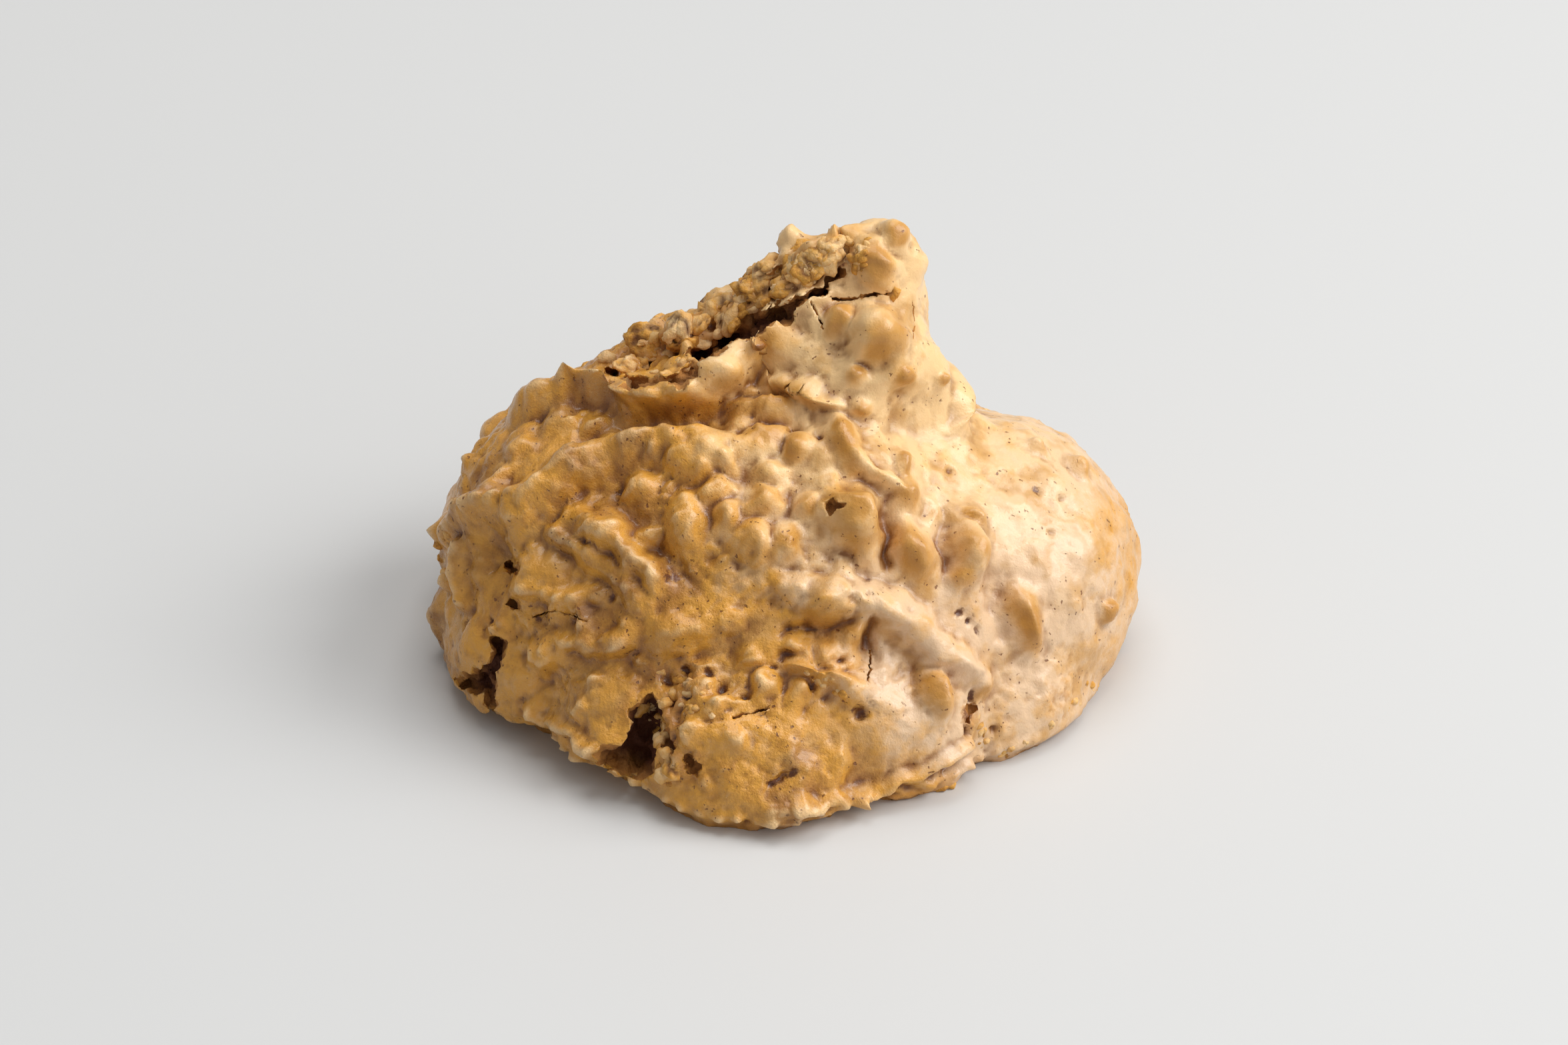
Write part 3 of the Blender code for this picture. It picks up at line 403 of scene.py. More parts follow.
def colour(name, description, default):
    return FloatVectorProperty(
        name=name, description=description, subtype="COLOR", size=4, min=0, max=1, default=linear(default))


class CookieCrust(PropertyGroup):
    """Sizes of the crust's finest relief."""
    wrinkle: FloatProperty(
        name="Wrinkles", description="How far the fine wrinkles of the skin stand out",
        default=0.17 * MM, unit="LENGTH", subtype="DISTANCE", precision=5)
    crumble: FloatProperty(
        name="Crumble", description="How far small crumbs stand out where the skin is rough",
        default=0.75 * MM, unit="LENGTH", subtype="DISTANCE", precision=5)
    wall_grain: FloatProperty(
        name="Broken grain", description="How rough the broken meringue in the cracks is",
        default=0.60 * MM, unit="LENGTH", subtype="DISTANCE", precision=5)
    hidden_crumbs: IntProperty(
        name="Crumbs behind", description="Loose crumbs on the back and the sides", default=70, min=0)


class CookieColours(PropertyGroup):
    """Colours of the baked meringue. Deep crumb is painted shade, toasted is also painted shade in creases
    and on the left, and honey is also a painted highlight on the tops of bumps.
    """
    cream: colour("Cream", "The dried skin where it is thick and pale", "#DAB893")
    golden: colour("Golden", "The skin where the oven has browned it", "#D2963A")
    # Honey is also a painted highlight on the convex tops of bumps.
    honey: colour("Honey", "The skin near the peak, where it is thin over the nuts", "#E6C08A")
    beige: colour("Beige", "The skin where it lies smooth and thick in the shade", "#C08F4D")
    # Toasted is also painted shade, in creases and on the left, the side away from the key light.
    toasted: colour("Toasted", "The skin over nuts, stretched thin and brown", "#844F1A")
    nut_skin: colour("Nut skin", "Hazelnut skin that shows through", "#713D1C")
    crumb: colour("Crumb", "Broken meringue near the surface", "#BC803A")
    # Deep crumb is painted shade: it darkens cracks, creases, gaps between crumbs and pits.
    deep: colour("Deep crumb", "Broken meringue deep in a hollow", "#57290C")


class CookieStudio(PropertyGroup):
    """The plain studio."""
    key_power: FloatProperty(
        name="Key light", description="Power of the soft light at the right", default=5.1, min=0)
    top_power: FloatProperty(
        name="Top light", description="Power of the wide light overhead", default=5.4, min=0)
    front_power: FloatProperty(
        name="Front light", description="Power of the wide light at the front right", default=3.7, min=0)
    fill: FloatProperty(name="Fill", description="Strength of the light all round", default=0.35, min=0)
    floor: colour("Floor", "The pale floor", "#C9C9C8")
    lens: FloatProperty(name="Lens", description="Focal length", default=221.0, unit="CAMERA", min=20)


def seen(right, up, surface):
    """Where on the surface the eye meets the point that lies so far right and up, and the normal."""
    eye = EYE_BACK * EYE_DISTANCE
    aim = EYE_RIGHT * right + EYE_UP * up
    place, normal, _, _ = surface.ray_cast(eye * MM, (aim - eye).normalized())
    if place is None:
        place, normal, _, _ = surface.find_nearest(aim * MM)
    return place / MM, normal


def in_view(turn):
    """The way that a feature runs, turned so many degrees from the right as the eye sees it."""
    angle = math.radians(turn)
    return EYE_RIGHT * math.cos(angle) + EYE_UP * math.sin(angle)


def deselect():
    bpy.ops.object.select_all(action="DESELECT")


def ball_cluster(name, balls, subdivisions):
    """One object with an ico sphere for each centre, radii and axes, added in edit mode."""
    deselect()
    bpy.ops.mesh.primitive_ico_sphere_add(subdivisions=1, radius=MM)
    item = bpy.context.object
    item.name = name
    bpy.ops.object.mode_set(mode="EDIT")
    bpy.ops.mesh.select_all(action="SELECT")
    bpy.ops.mesh.delete(type="VERT")
    for centre, radii, axes in balls:
        turn = Matrix(axes).transposed().to_euler() if axes else (0, 0, 0)
        bpy.ops.mesh.primitive_ico_sphere_add(
            subdivisions=subdivisions, radius=MM, location=Vector(centre) * MM, rotation=turn, scale=radii)
    bpy.ops.object.mode_set(mode="OBJECT")
    return item


def apply(item, name):
    deselect()
    item.select_set(True)
    bpy.context.view_layer.objects.active = item
    bpy.ops.object.modifier_apply(modifier=name)


def fuse(item, voxel, rounds):
    """Makes the balls in the object one skin, and lets it settle."""
    remesh = item.modifiers.new("fuse", "REMESH")
    remesh.mode = "VOXEL"
    remesh.voxel_size = voxel * MM
    apply(item, "fuse")
    if rounds:
        settle = item.modifiers.new("settle", "SMOOTH")
        settle.factor = 0.5
        settle.iterations = rounds
        apply(item, "settle")


def refine(item):
    """Twice as fine a mesh along each edge, for the small relief."""
    finer = item.modifiers.new("finer", "SUBSURF")
    finer.levels = 1
    finer.render_levels = 1
    apply(item, "finer")


def cut(item, cutter, operation):
    boolean = item.modifiers.new("cut", "BOOLEAN")
    boolean.operation = operation
    boolean.object = cutter
    boolean.solver = "MANIFOLD"
    apply(item, "cut")
    bpy.data.objects.remove(cutter)


def surface_of(item):
    made = bmesh.new()
    made.from_mesh(item.data)
    tree = BVHTree.FromBMesh(made)
    made.free()
    return tree


def bump(place, normal, way, radii, rise, steep=CAP_SHAPE, lean=(0.0, 0.0)):
    """A rise of the skin: its place, its axes and radii, its height, how steep its sides are and how
    far its top leans to one side."""
    across = normal.cross(way).normalized()
    along = across.cross(normal).normalized()
    most = STEEPEST * min(radii)
    tall = max(-most, min(most, RISE * rise))
    return place, (along, across, normal), (*radii, 1.5 * max(radii)), tall, steep, lean


def any_shape(luck):
    """How steep a nut piece's sides are, and which way its top leans, by chance."""
    return luck.uniform(*NUT_SHAPES), (luck.uniform(-LEAN, LEAN), luck.uniform(-LEAN, LEAN))


def seen_bumps(rows, surface):
    for number, (right, up, long_radius, short_radius, turn, rise) in enumerate(rows):
        place, normal = seen(right, up, surface)
        shape = any_shape(random.Random(number))
        yield bump(place, normal, in_view(turn), (long_radius, short_radius), rise, *shape)


def walk(path, step):
    """Places along a path of straight stretches, and the way that each stretch runs."""
    for (right0, up0), (right1, up1) in zip(path, path[1:]):
        steps = max(1, round(math.hypot(right1 - right0, up1 - up0) / step))
        turn = math.degrees(math.atan2(up1 - up0, right1 - right0))
        for i in range(steps + 1):
            t = i / steps
            yield right0 + (right1 - right0) * t, up0 + (up1 - up0) * t, turn


def pit_bumps(surface):
    for right, up, radius, depth in PITS:
        place, normal = seen(right, up, surface)
        yield bump(place, normal, EYE_RIGHT, (radius, radius), depth / RISE)


def fold_bumps(surface):
    for radius, rise, path in FOLDS:
        for right, up, turn in walk(path, 0.5 * radius):
            place, normal = seen(right, up, surface)
            yield bump(place, normal, in_view(turn), (1.2 * radius, radius), rise)


def chance_place(surface, luck):
    """A place on the heap by chance, and the normal there."""
    turn = luck.uniform(-math.pi, math.pi)
    lift = math.asin(luck.uniform(0.0, 1.0))
    way = Vector((math.cos(turn) * math.cos(lift), math.sin(turn) * math.cos(lift), math.sin(lift)))
    place, normal, _, _ = surface.ray_cast((HEAP_MIDDLE + way * 100) * MM, -way)
    return place / MM, normal


def hidden(normal):
    return normal.dot(EYE_BACK) < HIDDEN_FROM


def hidden_nuts(surface, luck):
    """Pieces of hazelnut on the back and the sides, by chance."""
    for _ in range(HIDDEN_LUMPS):
        place, normal = chance_place(surface, luck)
        size = luck.choice(HIDDEN_LUMP_SIZES)
        spread = luck.uniform(0.55, 1.0)
        way = in_view(luck.uniform(0, 180))
        rise = size * luck.uniform(0.3, 0.6)
        shape = any_shape(luck)
        low = min(1.0, -1.5 * normal.dot(EYE_BACK))
        if hidden(normal) and place.z < PEAK_FOOT:
            yield bump(place, normal, way, (size, size * spread), rise * low, *shape)


def hidden_folds(surface, luck):
    """Folds of meringue on the back and the sides, by chance."""
    for _ in range(HIDDEN_FOLDS):
        place, normal = chance_place(surface, luck)
        own_luck = random.Random(luck.random())
        if not hidden(normal):
            continue
        radius = own_luck.uniform(*HIDDEN_FOLD_RADII)
        way = normal.cross(Vector((own_luck.uniform(-0.5, 0.5), own_luck.uniform(-0.5, 0.5), 1)))
        for _ in range(own_luck.randrange(10, 22)):
            if place.z > PEAK_FOOT:
                break
            yield bump(place, normal, way, (1.2 * radius, radius), 0.6 * radius)
            way = way + normal.cross(way) * own_luck.uniform(-0.25, 0.25)
            ahead = place + way.normalized() * 0.6 * radius
            place, normal, _, _ = surface.find_nearest(ahead * MM)
            place = place / MM


def small_bumps(surface, luck):
    """Crumbs of hazelnut under the skin, all over."""
    for _ in range(SMALL_LUMPS):
        place, normal = chance_place(surface, luck)
        size = luck.uniform(*SMALL_LUMP_SIZES)
        rise = size * luck.uniform(0.15, 0.4) * (1 - 0.6 * paleness(*place))
        way = in_view(luck.uniform(0, 180))
        yield bump(place, normal, way, (size, size * luck.uniform(0.6, 1.0)), rise, *any_shape(luck))


def ridge_bumps(surface, luck):
    """Broken meringue along the crest: crumbs and gaps."""
    for _ in range(RIDGE_CRUMBS):
        place, normal = near_path(CREST, RIDGE_STRAY, surface, luck)
        size = luck.uniform(*RIDGE_CRUMB_SIZES)
        rise = size * luck.uniform(-1.0, 1.0)
        way = in_view(luck.uniform(0, 180))
        yield bump(place, normal, way, (size, size * 0.75), rise, *any_shape(luck))


def near_path(path, stray, surface, luck):
    """A place by chance along a path that the eye sees, and the normal there."""
    lengths = [math.dist(a, b) for a, b in zip(path, path[1:])]
    way = luck.uniform(0, sum(lengths))
    right_stray, up_stray = luck.uniform(-stray, stray), luck.uniform(-stray, stray)
    for (right0, up0), (right1, up1), length in zip(path, path[1:], lengths):
        if way <= length:
            break
        way -= length
    t = min(1.0, way / length)
    return seen(right0 + (right1 - right0) * t + right_stray, up0 + (up1 - up0) * t + up_stray, surface)


def coordinates(mesh):
    places = np.empty(len(mesh.vertices) * 3)
    mesh.vertices.foreach_get("co", places)
    return places.reshape(-1, 3) / MM


def normals_of(mesh):
    normals = np.empty(len(mesh.vertices) * 3)
    mesh.vertices.foreach_get("normal", normals)
    return normals.reshape(-1, 3)


def move_to(mesh, places):
    mesh.vertices.foreach_set("co", (places * MM).ravel())
    mesh.update()


def drape(item, lumps, folds, falls, rough_spots, sizes):
    """Lifts the skin over the folds and the lumps on them, dents it at the falls and roughens it."""
    mesh = item.data
    places = coordinates(mesh)
    bent = bend(places)
    rough = nearness(places, rough_spots)
    up = height_over(bent, folds) + height_over(bent, lumps) - height_over(bent, falls)
    up += np.array([skin_at(Vector(place), share, sizes) for place, share in zip(places, rough)])
    move_to(mesh, places + normals_of(mesh) * up[:, None])


def bend(places):
    """Moves each place a little by a slow noise, so that what is drawn there isn't an exact ellipse."""
    (wide, far), (fine, near) = BEND_WIDE, BEND_FINE
    moved = [
        noise.noise_vector(place / wide) * far + noise.noise_vector(place / fine) * near
        for place in map(Vector, places)]
    return places + np.array(moved)


def height_over(places, bumps):
    """The height of the skin at each place: a soft maximum over the bumps, each a leaning dome."""
    total = np.zeros(len(places))
    for centre, axes, radii, rise, steep, lean in bumps:
        away = places - np.array(centre)
        close = (np.abs(away) < 3 * max(radii)).all(axis=1)
        inside = away[close] @ np.array(axes).T / np.array(radii)
        reach = (inside ** 2).sum(axis=1)
        height = rise * np.exp(-reach ** steep) * np.clip(1 + inside[:, :2] @ np.array(lean), 0.2, 1.8)
        total[close] += np.sign(rise) * np.abs(height) ** 3
    return np.cbrt(total)


def nearness(places, spots):
    """The strongest of the spots at each place, fading out round each."""
    total = np.zeros(len(places))
    for centre, radius, strength in spots:
        apart = ((places - np.array(centre)) ** 2).sum(axis=1) / radius ** 2
        total = np.maximum(total, strength * np.exp(-apart))
    return total


def rough_spots_on(surface, luck):
    """Where the skin is rough or broken: the crest, the named places, and some by chance behind."""
    spots = [(seen(right, up, surface)[0], RIDGE_ROUGH, 1.0) for right, up, _ in walk(CREST, 1.5)]
    spots += [(seen(right, up, surface)[0], radius, share) for right, up, radius, share in ROUGH_PLACES]
    return spots + list(chance_spots(surface, luck, HIDDEN_ROUGH_RADII, 0.9))


def nut_spots_on(surface, luck):
    """Where brown nut skin shows: the named places, and some by chance behind."""
    spots = [(seen(right, up, surface)[0], radius, 1.0) for right, up, radius in NUT_SKIN]
    return spots + list(chance_spots(surface, luck, HIDDEN_NUT_SKIN_RADII, 1.0))


def chance_spots(surface, luck, radii, strongest):
    for _ in range(HIDDEN_ROUGH):
        place, normal = chance_place(surface, luck)
        radius = luck.uniform(*radii)
        share = strongest * luck.uniform(0.4, 1.0)
        if hidden(normal):
            yield place, radius, share


def paleness(x, _, z):
    """How smooth the skin is: from 0 on the left to 1 high up on the right."""
    return 1 / (1 + np.exp(-(x + 0.5 * z - 16.0) / 3.8))


def cream_and_painted_light(x, _, z):
    """How cream the skin is: from 0 on the left, the side away from the key light, to 1 on the right and
    round the peak, partly the skin's own uneven browning and partly painted light; the rise toward the
    peak is painted light. Less again at the far right: painted shade where the skin turns away."""
    high = 0.6 * z + 0.03 * np.maximum(z - 18, 0) ** 2
    return 1 / (1 + np.exp(-(x + high - 11.5) / 3.0)) - 0.45 / (1 + np.exp(-(x - 27.0) / 1.5))


def skin_at(place, rough, sizes):
    """How far the skin stands out: slow swells, nut bits, wrinkles, and crumbs where it is rough."""
    pale = paleness(*place)
    swell = noise.fractal(place / SWELL_WIDTH, 0.9, 2.0, 2) * SWELL_HEIGHT
    uneven = noise.fractal(place / UNEVEN_WIDTH, 0.8, 2.0, 3) * UNEVEN_HEIGHT * (1 - 0.55 * pale)
    patch = noise.noise(place / BITS_PATCH + Vector((9, 0, 0)))
    lumpy = min(1.0, max(0.0, 0.5 + 1.6 * patch)) * (1 - 0.65 * pale)
    bits = lumpy * cell_dome(place / BITS_WIDTH) * BITS_HEIGHT
    bent = place + noise.noise_vector(place / WRINKLE_BEND[0]) * WRINKLE_BEND[1]
    wrinkle = max(0.0, 1.0 - 4.5 * abs(noise.noise(bent / WRINKLE_WIDTH))) * (0.3 + 0.7 * lumpy)
    grainy = min(1.0, max(0.0, 0.3 + 1.8 * noise.noise(place / GRAIN_PATCH + Vector((0, 5, 0)))))
    rough = max(rough, 0.4 * grainy * (1 - pale)) * (1 - 0.7 / (1 + math.exp(place.x - SMOOTH_SIDE)))
    coarse, fine = CRUMBLE_WIDTHS
    crumbs = (cell_dome(place / coarse) + noise.fractal(place / fine, 0.6, 2.0, 2) * 0.7) * rough
    relief = swell + uneven + bits + wrinkle * sizes.wrinkle / MM + crumbs * sizes.crumble / MM
    return relief + foot_at(place)


def cell_dome(place):
    """A dome round each of many scattered points, half of them flat and the others unequal."""
    near, points = noise.voronoi(place)
    return max(0.0, noise.cell(points[0] * 9.7)) * max(0.0, 1.0 - (near[0] / 0.55) ** 2)


def foot_at(place):
    """How far the foot tucks under, and how far the torn edge of the skin above it stands out."""
    worn = max(0.0, 0.5 + 1.4 * noise.noise(Vector((place.x, place.y, 0)) / FOOT_PATCH))
    ragged = 1.0 + 2.0 * noise.noise(place / EDGE_PATCH)
    overhang = bell(place.x, *OVERHANG) if place.y < 0 else 0.0
    spread = bell(place.x, *SPREAD) if place.y < 0 else 0.0
    tuck = FOOT_TUCK * worn * (1 - 0.6 * spread) + OVERHANG_TUCK * overhang
    tuck *= bell(place.z, 0.1, FOOT_HEIGHT + OVERHANG_HEIGHT * overhang)
    edge = bell(place.z - EDGE_LEVEL, EDGE_LIFT * overhang, EDGE_HEIGHT)
    edge = EDGE_OUT * (0.3 + worn) * ragged * edge
    return edge / (1 + math.exp((abs(place.x) - EDGE_END) / EDGE_FADE)) - tuck


def bell(at, middle, half_width):
    return math.exp(-((at - middle) / half_width) ** 2)


def crack_balls(surface):
    """The hollow of each crack: balls stretched away from the eye, along the crack's way."""
    luck = random.Random(SEED + 1)
    for half_width, depth, path in CRACKS:
        for right, up, turn in walk(path, 0.6 * half_width):
            place, _ = seen(right, up, surface)
            way = in_view(turn)
            axes = (way, -EYE_BACK, way.cross(-EYE_BACK))
            wide = half_width * luck.uniform(0.7, 1.3)
            deep = depth * luck.uniform(0.7, 1.0)
            shift = axes[2] * luck.uniform(-0.3, 0.3) * half_width
            yield place + shift, (1.2 * half_width, deep, wide), axes


def roughen(item, grain):
    """Breaks a smooth wall into crumb."""
    mesh = item.data
    places = coordinates(mesh)
    rough = np.array([noise.fractal(Vector(place) / WALL_PATCH, 0.7, 2.0, 3) for place in places])
    move_to(mesh, places + normals_of(mesh) * (rough * grain)[:, None])


def blade(name, width, depth, path, surface):
    """A thin wall that follows a hairline over the surface, to cut it with."""
    made = bmesh.new()
    rows = []
    for right, up, _ in walk(path, 0.4):
        wander = noise.noise(Vector((right, up, 3.0)) * 0.9) * 0.35
        place, normal = seen(right, up + wander, surface)
        rows.append([made.verts.new((place + normal * level) * MM) for level in (0.8, -depth)])
    for (top0, low0), (top1, low1) in zip(rows, rows[1:]):
        made.faces.new((top0, low0, low1, top1))
    mesh = bpy.data.meshes.new(name)
    made.to_mesh(mesh)
    made.free()
    item = bpy.data.objects.new(name, mesh)
    bpy.context.scene.collection.objects.link(item)
    wall = item.modifiers.new("wall", "SOLIDIFY")
    wall.thickness = width * MM
    wall.offset = 0
    apply(item, "wall")
    return item


def floor_box():
    """All that lies above the floor."""
    deselect()
    bpy.ops.mesh.primitive_cube_add(size=1, location=(0, 0, (FLOOR_BLOCK[2] / 2 + FLOOR_TRIM) * MM))
    above = bpy.context.object
    above.scale = [side * MM for side in FLOOR_BLOCK]
    bpy.ops.object.transform_apply(location=True, rotation=False, scale=True)
    return above


def fit(item, low, high):
    """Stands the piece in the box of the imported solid."""
    places = coordinates(item.data)
    own_low, own_high = places.min(axis=0), places.max(axis=0)
    low, high = np.array(low) / MM, np.array(high) / MM
    move_to(item.data, (places - own_low) / (own_high - own_low) * (high - low) + low)


def keep(mesh, name, values):
    """Stores one value for each corner of the mesh, for a material to read."""
    layer = mesh.attributes.new(name, "FLOAT", "POINT")
    layer.data.foreach_set("value", np.ascontiguousarray(values, dtype=np.float32))


def hollowness(mesh, rounds):
    """How far each corner lies under the surface smoothed round it, in millimetres."""
    places = coordinates(mesh)
    ends = np.empty(len(mesh.edges) * 2, dtype=np.int64)
    mesh.edges.foreach_get("vertices", ends)
    ends = ends.reshape(-1, 2)
    count = np.bincount(ends.ravel(), minlength=len(places))[:, None]
    smooth = places.copy()
    for _ in range(rounds):
        total = np.zeros_like(smooth)
        for axis in range(3):
            total[:, axis] = np.bincount(ends[:, 0], smooth[ends[:, 1], axis], len(places))
            total[:, axis] += np.bincount(ends[:, 1], smooth[ends[:, 0], axis], len(places))
        smooth = 0.5 * smooth + 0.5 * total / np.maximum(count, 1)
    return ((smooth - places) * normals_of(mesh)).sum(axis=1)


# The kinds of node that the materials use: Blender's name, its own settings, and the output to take.
PLUS = ("ShaderNodeMath", {"operation": "ADD"}, 0)
TIMES = ("ShaderNodeMath", {"operation": "MULTIPLY"}, 0)
TIMES_PLUS = ("ShaderNodeMath", {"operation": "MULTIPLY_ADD"}, 0)
RAMP = ("ShaderNodeMapRange", {}, 0)
BLEND = ("ShaderNodeMix", {"data_type": "RGBA"}, 2)
GRAINS = ("ShaderNodeTexNoise", {}, 0)
BUBBLES = ("ShaderNodeTexVoronoi", {}, 0)
RELIEF = ("ShaderNodeBump", {}, 0)
PLACE = ("ShaderNodeTexCoord", {}, "Object")
LEVEL = ("ShaderNodeSeparateXYZ", {}, "Z")
STORED = {note: ("ShaderNodeAttribute", {"attribute_name": note}, "Fac") for note in (
    "raised", "hollow", "rough", "nut", "pale", "foot", "pit", "depth", "tint")}


def add_node(tree, kind, *values):
    """Adds a node of one kind, sets or links its inputs in their order, and gives its output."""
    name, settings, output = kind
    made = tree.nodes.new(name)
    for key, value in settings.items():
        setattr(made, key, value)
    for socket, value in zip([socket for socket in made.inputs if socket.enabled], values):
        if isinstance(value, bpy.types.NodeSocket):
            tree.links.new(value, socket)
        else:
            socket.default_value = value
    return made.outputs[output]


def start_material(name):
    material = bpy.data.materials.new(name)
    material.use_nodes = True
    tree = material.node_tree
    return material, tree, tree.nodes["Principled BSDF"]


def per_metre(width):
    """The scale of a pattern whose grains are so many millimetres wide."""
    return 1.0 / (width * MM)


def let_light_in(shader, share):
    """Light passes a little way into sugar and egg white, red farthest."""
    shader.inputs["Subsurface Weight"].default_value = share
    shader.inputs["Subsurface Radius"].default_value = (1.0, 0.6, 0.35)
    shader.inputs["Subsurface Scale"].default_value = LIGHT_REACH * MM


def meringue_skin(colours):
    """Baked meringue skin: egg white and sugar dried to a thin satin shell. It is cream on the right and
    round the peak, partly its own colour and partly painted light, golden where the oven browned it and
    brown over the nuts, with soft highlights. Painted shade darkens the left side, the creases, the gaps and
    the pits, and a painted highlight lightens the tops of the bumps."""
    material, tree, shader = start_material("baked_meringue_skin")
    place = add_node(tree, PLACE)
    raised, hollow, rough, nut, pale, foot, pit = [
        add_node(tree, STORED[note]) for note in ("raised", "hollow", "rough", "nut", "pale", "foot", "pit")]
    cloud = add_node(tree, GRAINS, place, per_metre(CLOUD_WIDTH), 3.0, 0.55)
    cloud = add_node(tree, RAMP, cloud, 0.38, 0.62)
    mottle = add_node(tree, GRAINS, place, per_metre(MOTTLE_WIDTH), 4.0, 0.55)
    mottle = add_node(tree, RAMP, mottle, 0.38, 0.62)
    patch = add_node(tree, GRAINS, place, per_metre(PATCH_WIDTH), 4.0, 0.6)
    grain = add_node(tree, RAMP, patch, 0.40, 0.62)
    speck = add_node(tree, GRAINS, place, per_metre(SPECK_WIDTH), 1.0, 0.55)
    speck = add_node(tree, RAMP, speck, 0.68, 0.74, 0.0, add_node(tree, RAMP, mottle, 0.4, 0.7))
    thick = add_node(tree, GRAINS, place, per_metre(THICK_WIDTH), 3.0, 0.55)

    # browned: clouds, mottles and grain of the oven, less in creases; through pale it also holds painted
    # shade, darker on the left, the side away from the key light.
    browned = add_node(tree, TIMES, cloud, 0.35)
    for what, share in ((mottle, 0.35), (grain, 0.15), (pale, -0.95), (hollow, -0.5)):
        browned = add_node(tree, TIMES_PLUS, what, share, browned)
    high = add_node(tree, RAMP, add_node(tree, LEVEL, place), *(level * MM for level in HONEY_LEVELS))
    thin = add_node(tree, RAMP, add_node(tree, TIMES_PLUS, mottle, 0.25, high), 0.1, 0.9)
    base = add_node(tree, BLEND, thin, colours.cream, colours.honey)

    # The colours that lie over one another: what brings each, what makes its edge ragged and by how
    # much, where it starts and where it is full, how much of it there is at most, and the colour.
    on_nuts = add_node(tree, RAMP, pale, 0.1, 0.5, 0.15, 0.45)
    # How much painted highlight the tops of bumps get, most on the left.
    painted_top_highlight = add_node(tree, RAMP, pale, 0.1, 0.6, 0.85, 0.1)
    layers = (
        # Partly real browning, partly painted shade on the left, through browned.
        (browned, None, 0, -0.45, 0.20, 1.0, colours.golden),
        (thick, hollow, 0.12, 0.52, 0.66, 0.75, colours.beige),
        # Partly real browning, partly painted shade on the left, through browned.
        (browned, None, 0, 0.35, 0.85, 0.75, colours.toasted),
        (foot, mottle, 0.3, 0.6, 1.1, 0.7, colours.crumb),
        (raised, mottle, 0.15, 0.20, 0.75, 0.8, colours.golden),
        (raised, mottle, 0.15, 0.35, 0.95, on_nuts, colours.toasted),
        # Painted highlight: honey on the convex tops of bumps.
        (hollow, None, 0, -0.10, -0.42, painted_top_highlight, colours.honey),
        # Painted shade: toasted, then deep brown, darken the creases.
        (hollow, mottle, 0.08, 0.05, 0.30, 0.9, colours.toasted),
        (hollow, mottle, 0.08, 0.25, 0.62, 0.75, colours.deep),
        (rough, grain, 0.3, 0.5, 1.0, 0.7, colours.crumb),
        # Painted shade: deep brown in the gaps between crumbs where the skin is rough.
        (rough, hollow, 3.0, 1.0, 1.8, 0.85, colours.deep),
        # Painted shade: deep brown in the soft pits.
        (pit, grain, 0.7, 0.7, 1.15, 0.9, colours.deep),
        (nut, grain, 0.45, 0.9, 1.15, 0.8, colours.nut_skin),
        (speck, None, 0, 0.0, 1.0, 0.8, colours.nut_skin),
    )
    for what, ragged, share, start, full, most, tone in layers:
        edge = add_node(tree, TIMES_PLUS, ragged, share, what) if share else what
        base = add_node(tree, BLEND, add_node(tree, RAMP, edge, start, full, 0.0, most), base, tone)
    tree.links.new(base, shader.inputs["Base Color"])

    # Rough places are dull, and the pale skin has less of the sugar's gloss.
    dull = add_node(tree, TIMES_PLUS, cloud, 0.4, add_node(tree, TIMES, rough, 0.8))
    tree.links.new(add_node(tree, RAMP, dull, 0.0, 1.1, 0.30, 0.60), shader.inputs["Roughness"])
    tree.links.new(add_node(tree, RAMP, pale, 0.1, 0.8, 0.48, 0.28), shader.inputs["Coat Weight"])
    shader.inputs["Specular IOR Level"].default_value = 0.3
    shader.inputs["Coat Roughness"].default_value = 0.18
    let_light_in(shader, 0.06)
    grit = add_node(tree, GRAINS, place, per_metre(GRIT_WIDTH), 2.0, 0.55)
    height = add_node(tree, TIMES_PLUS, speck, -0.8, add_node(tree, TIMES_PLUS, grit, 0.2, patch))
    height = add_node(tree, TIMES, height, add_node(tree, RAMP, pale, 0.0, 1.0, 1.0, 0.4))
    relief = add_node(tree, RELIEF, 0.75, 0.26 * MM, BUMP_FILTER, height)
    tree.links.new(relief, shader.inputs["Normal"])
    return material


def meringue_crumb(colours):
    """Broken meringue: bubbles torn open and toasted, matt and orange-brown, with painted shade darker deep
    inside the cracks.
    """
    material, tree, shader = start_material("broken_meringue_crumb")
    place, depth = add_node(tree, PLACE), add_node(tree, STORED["depth"])
    patch = add_node(tree, GRAINS, place, per_metre(TORN_WIDTH), 4.0, 0.65)
    # Painted shade: the deeper under the skin, the more deep brown, over a torn patch noise.
    patch_and_depth_shade = add_node(tree, TIMES_PLUS, patch, 0.9, add_node(tree, RAMP, depth, 0.2, 2.4))
    base = add_node(tree, BLEND, add_node(tree, RAMP, patch_and_depth_shade, 0.35, 1.2), colours.crumb, colours.deep)
    tree.links.new(base, shader.inputs["Base Color"])
    shader.inputs["Roughness"].default_value = 0.78
    let_light_in(shader, 0.06)
    fine = add_node(tree, GRAINS, place, per_metre(TORN_GRIT_WIDTH), 3.0, 0.55)
    height = add_node(tree, PLUS, add_node(tree, BUBBLES, place, per_metre(BUBBLE_WIDTH)), fine)
    relief = add_node(tree, RELIEF, 0.8, 0.25 * MM, BUMP_FILTER, height)
    tree.links.new(relief, shader.inputs["Normal"])
    return material


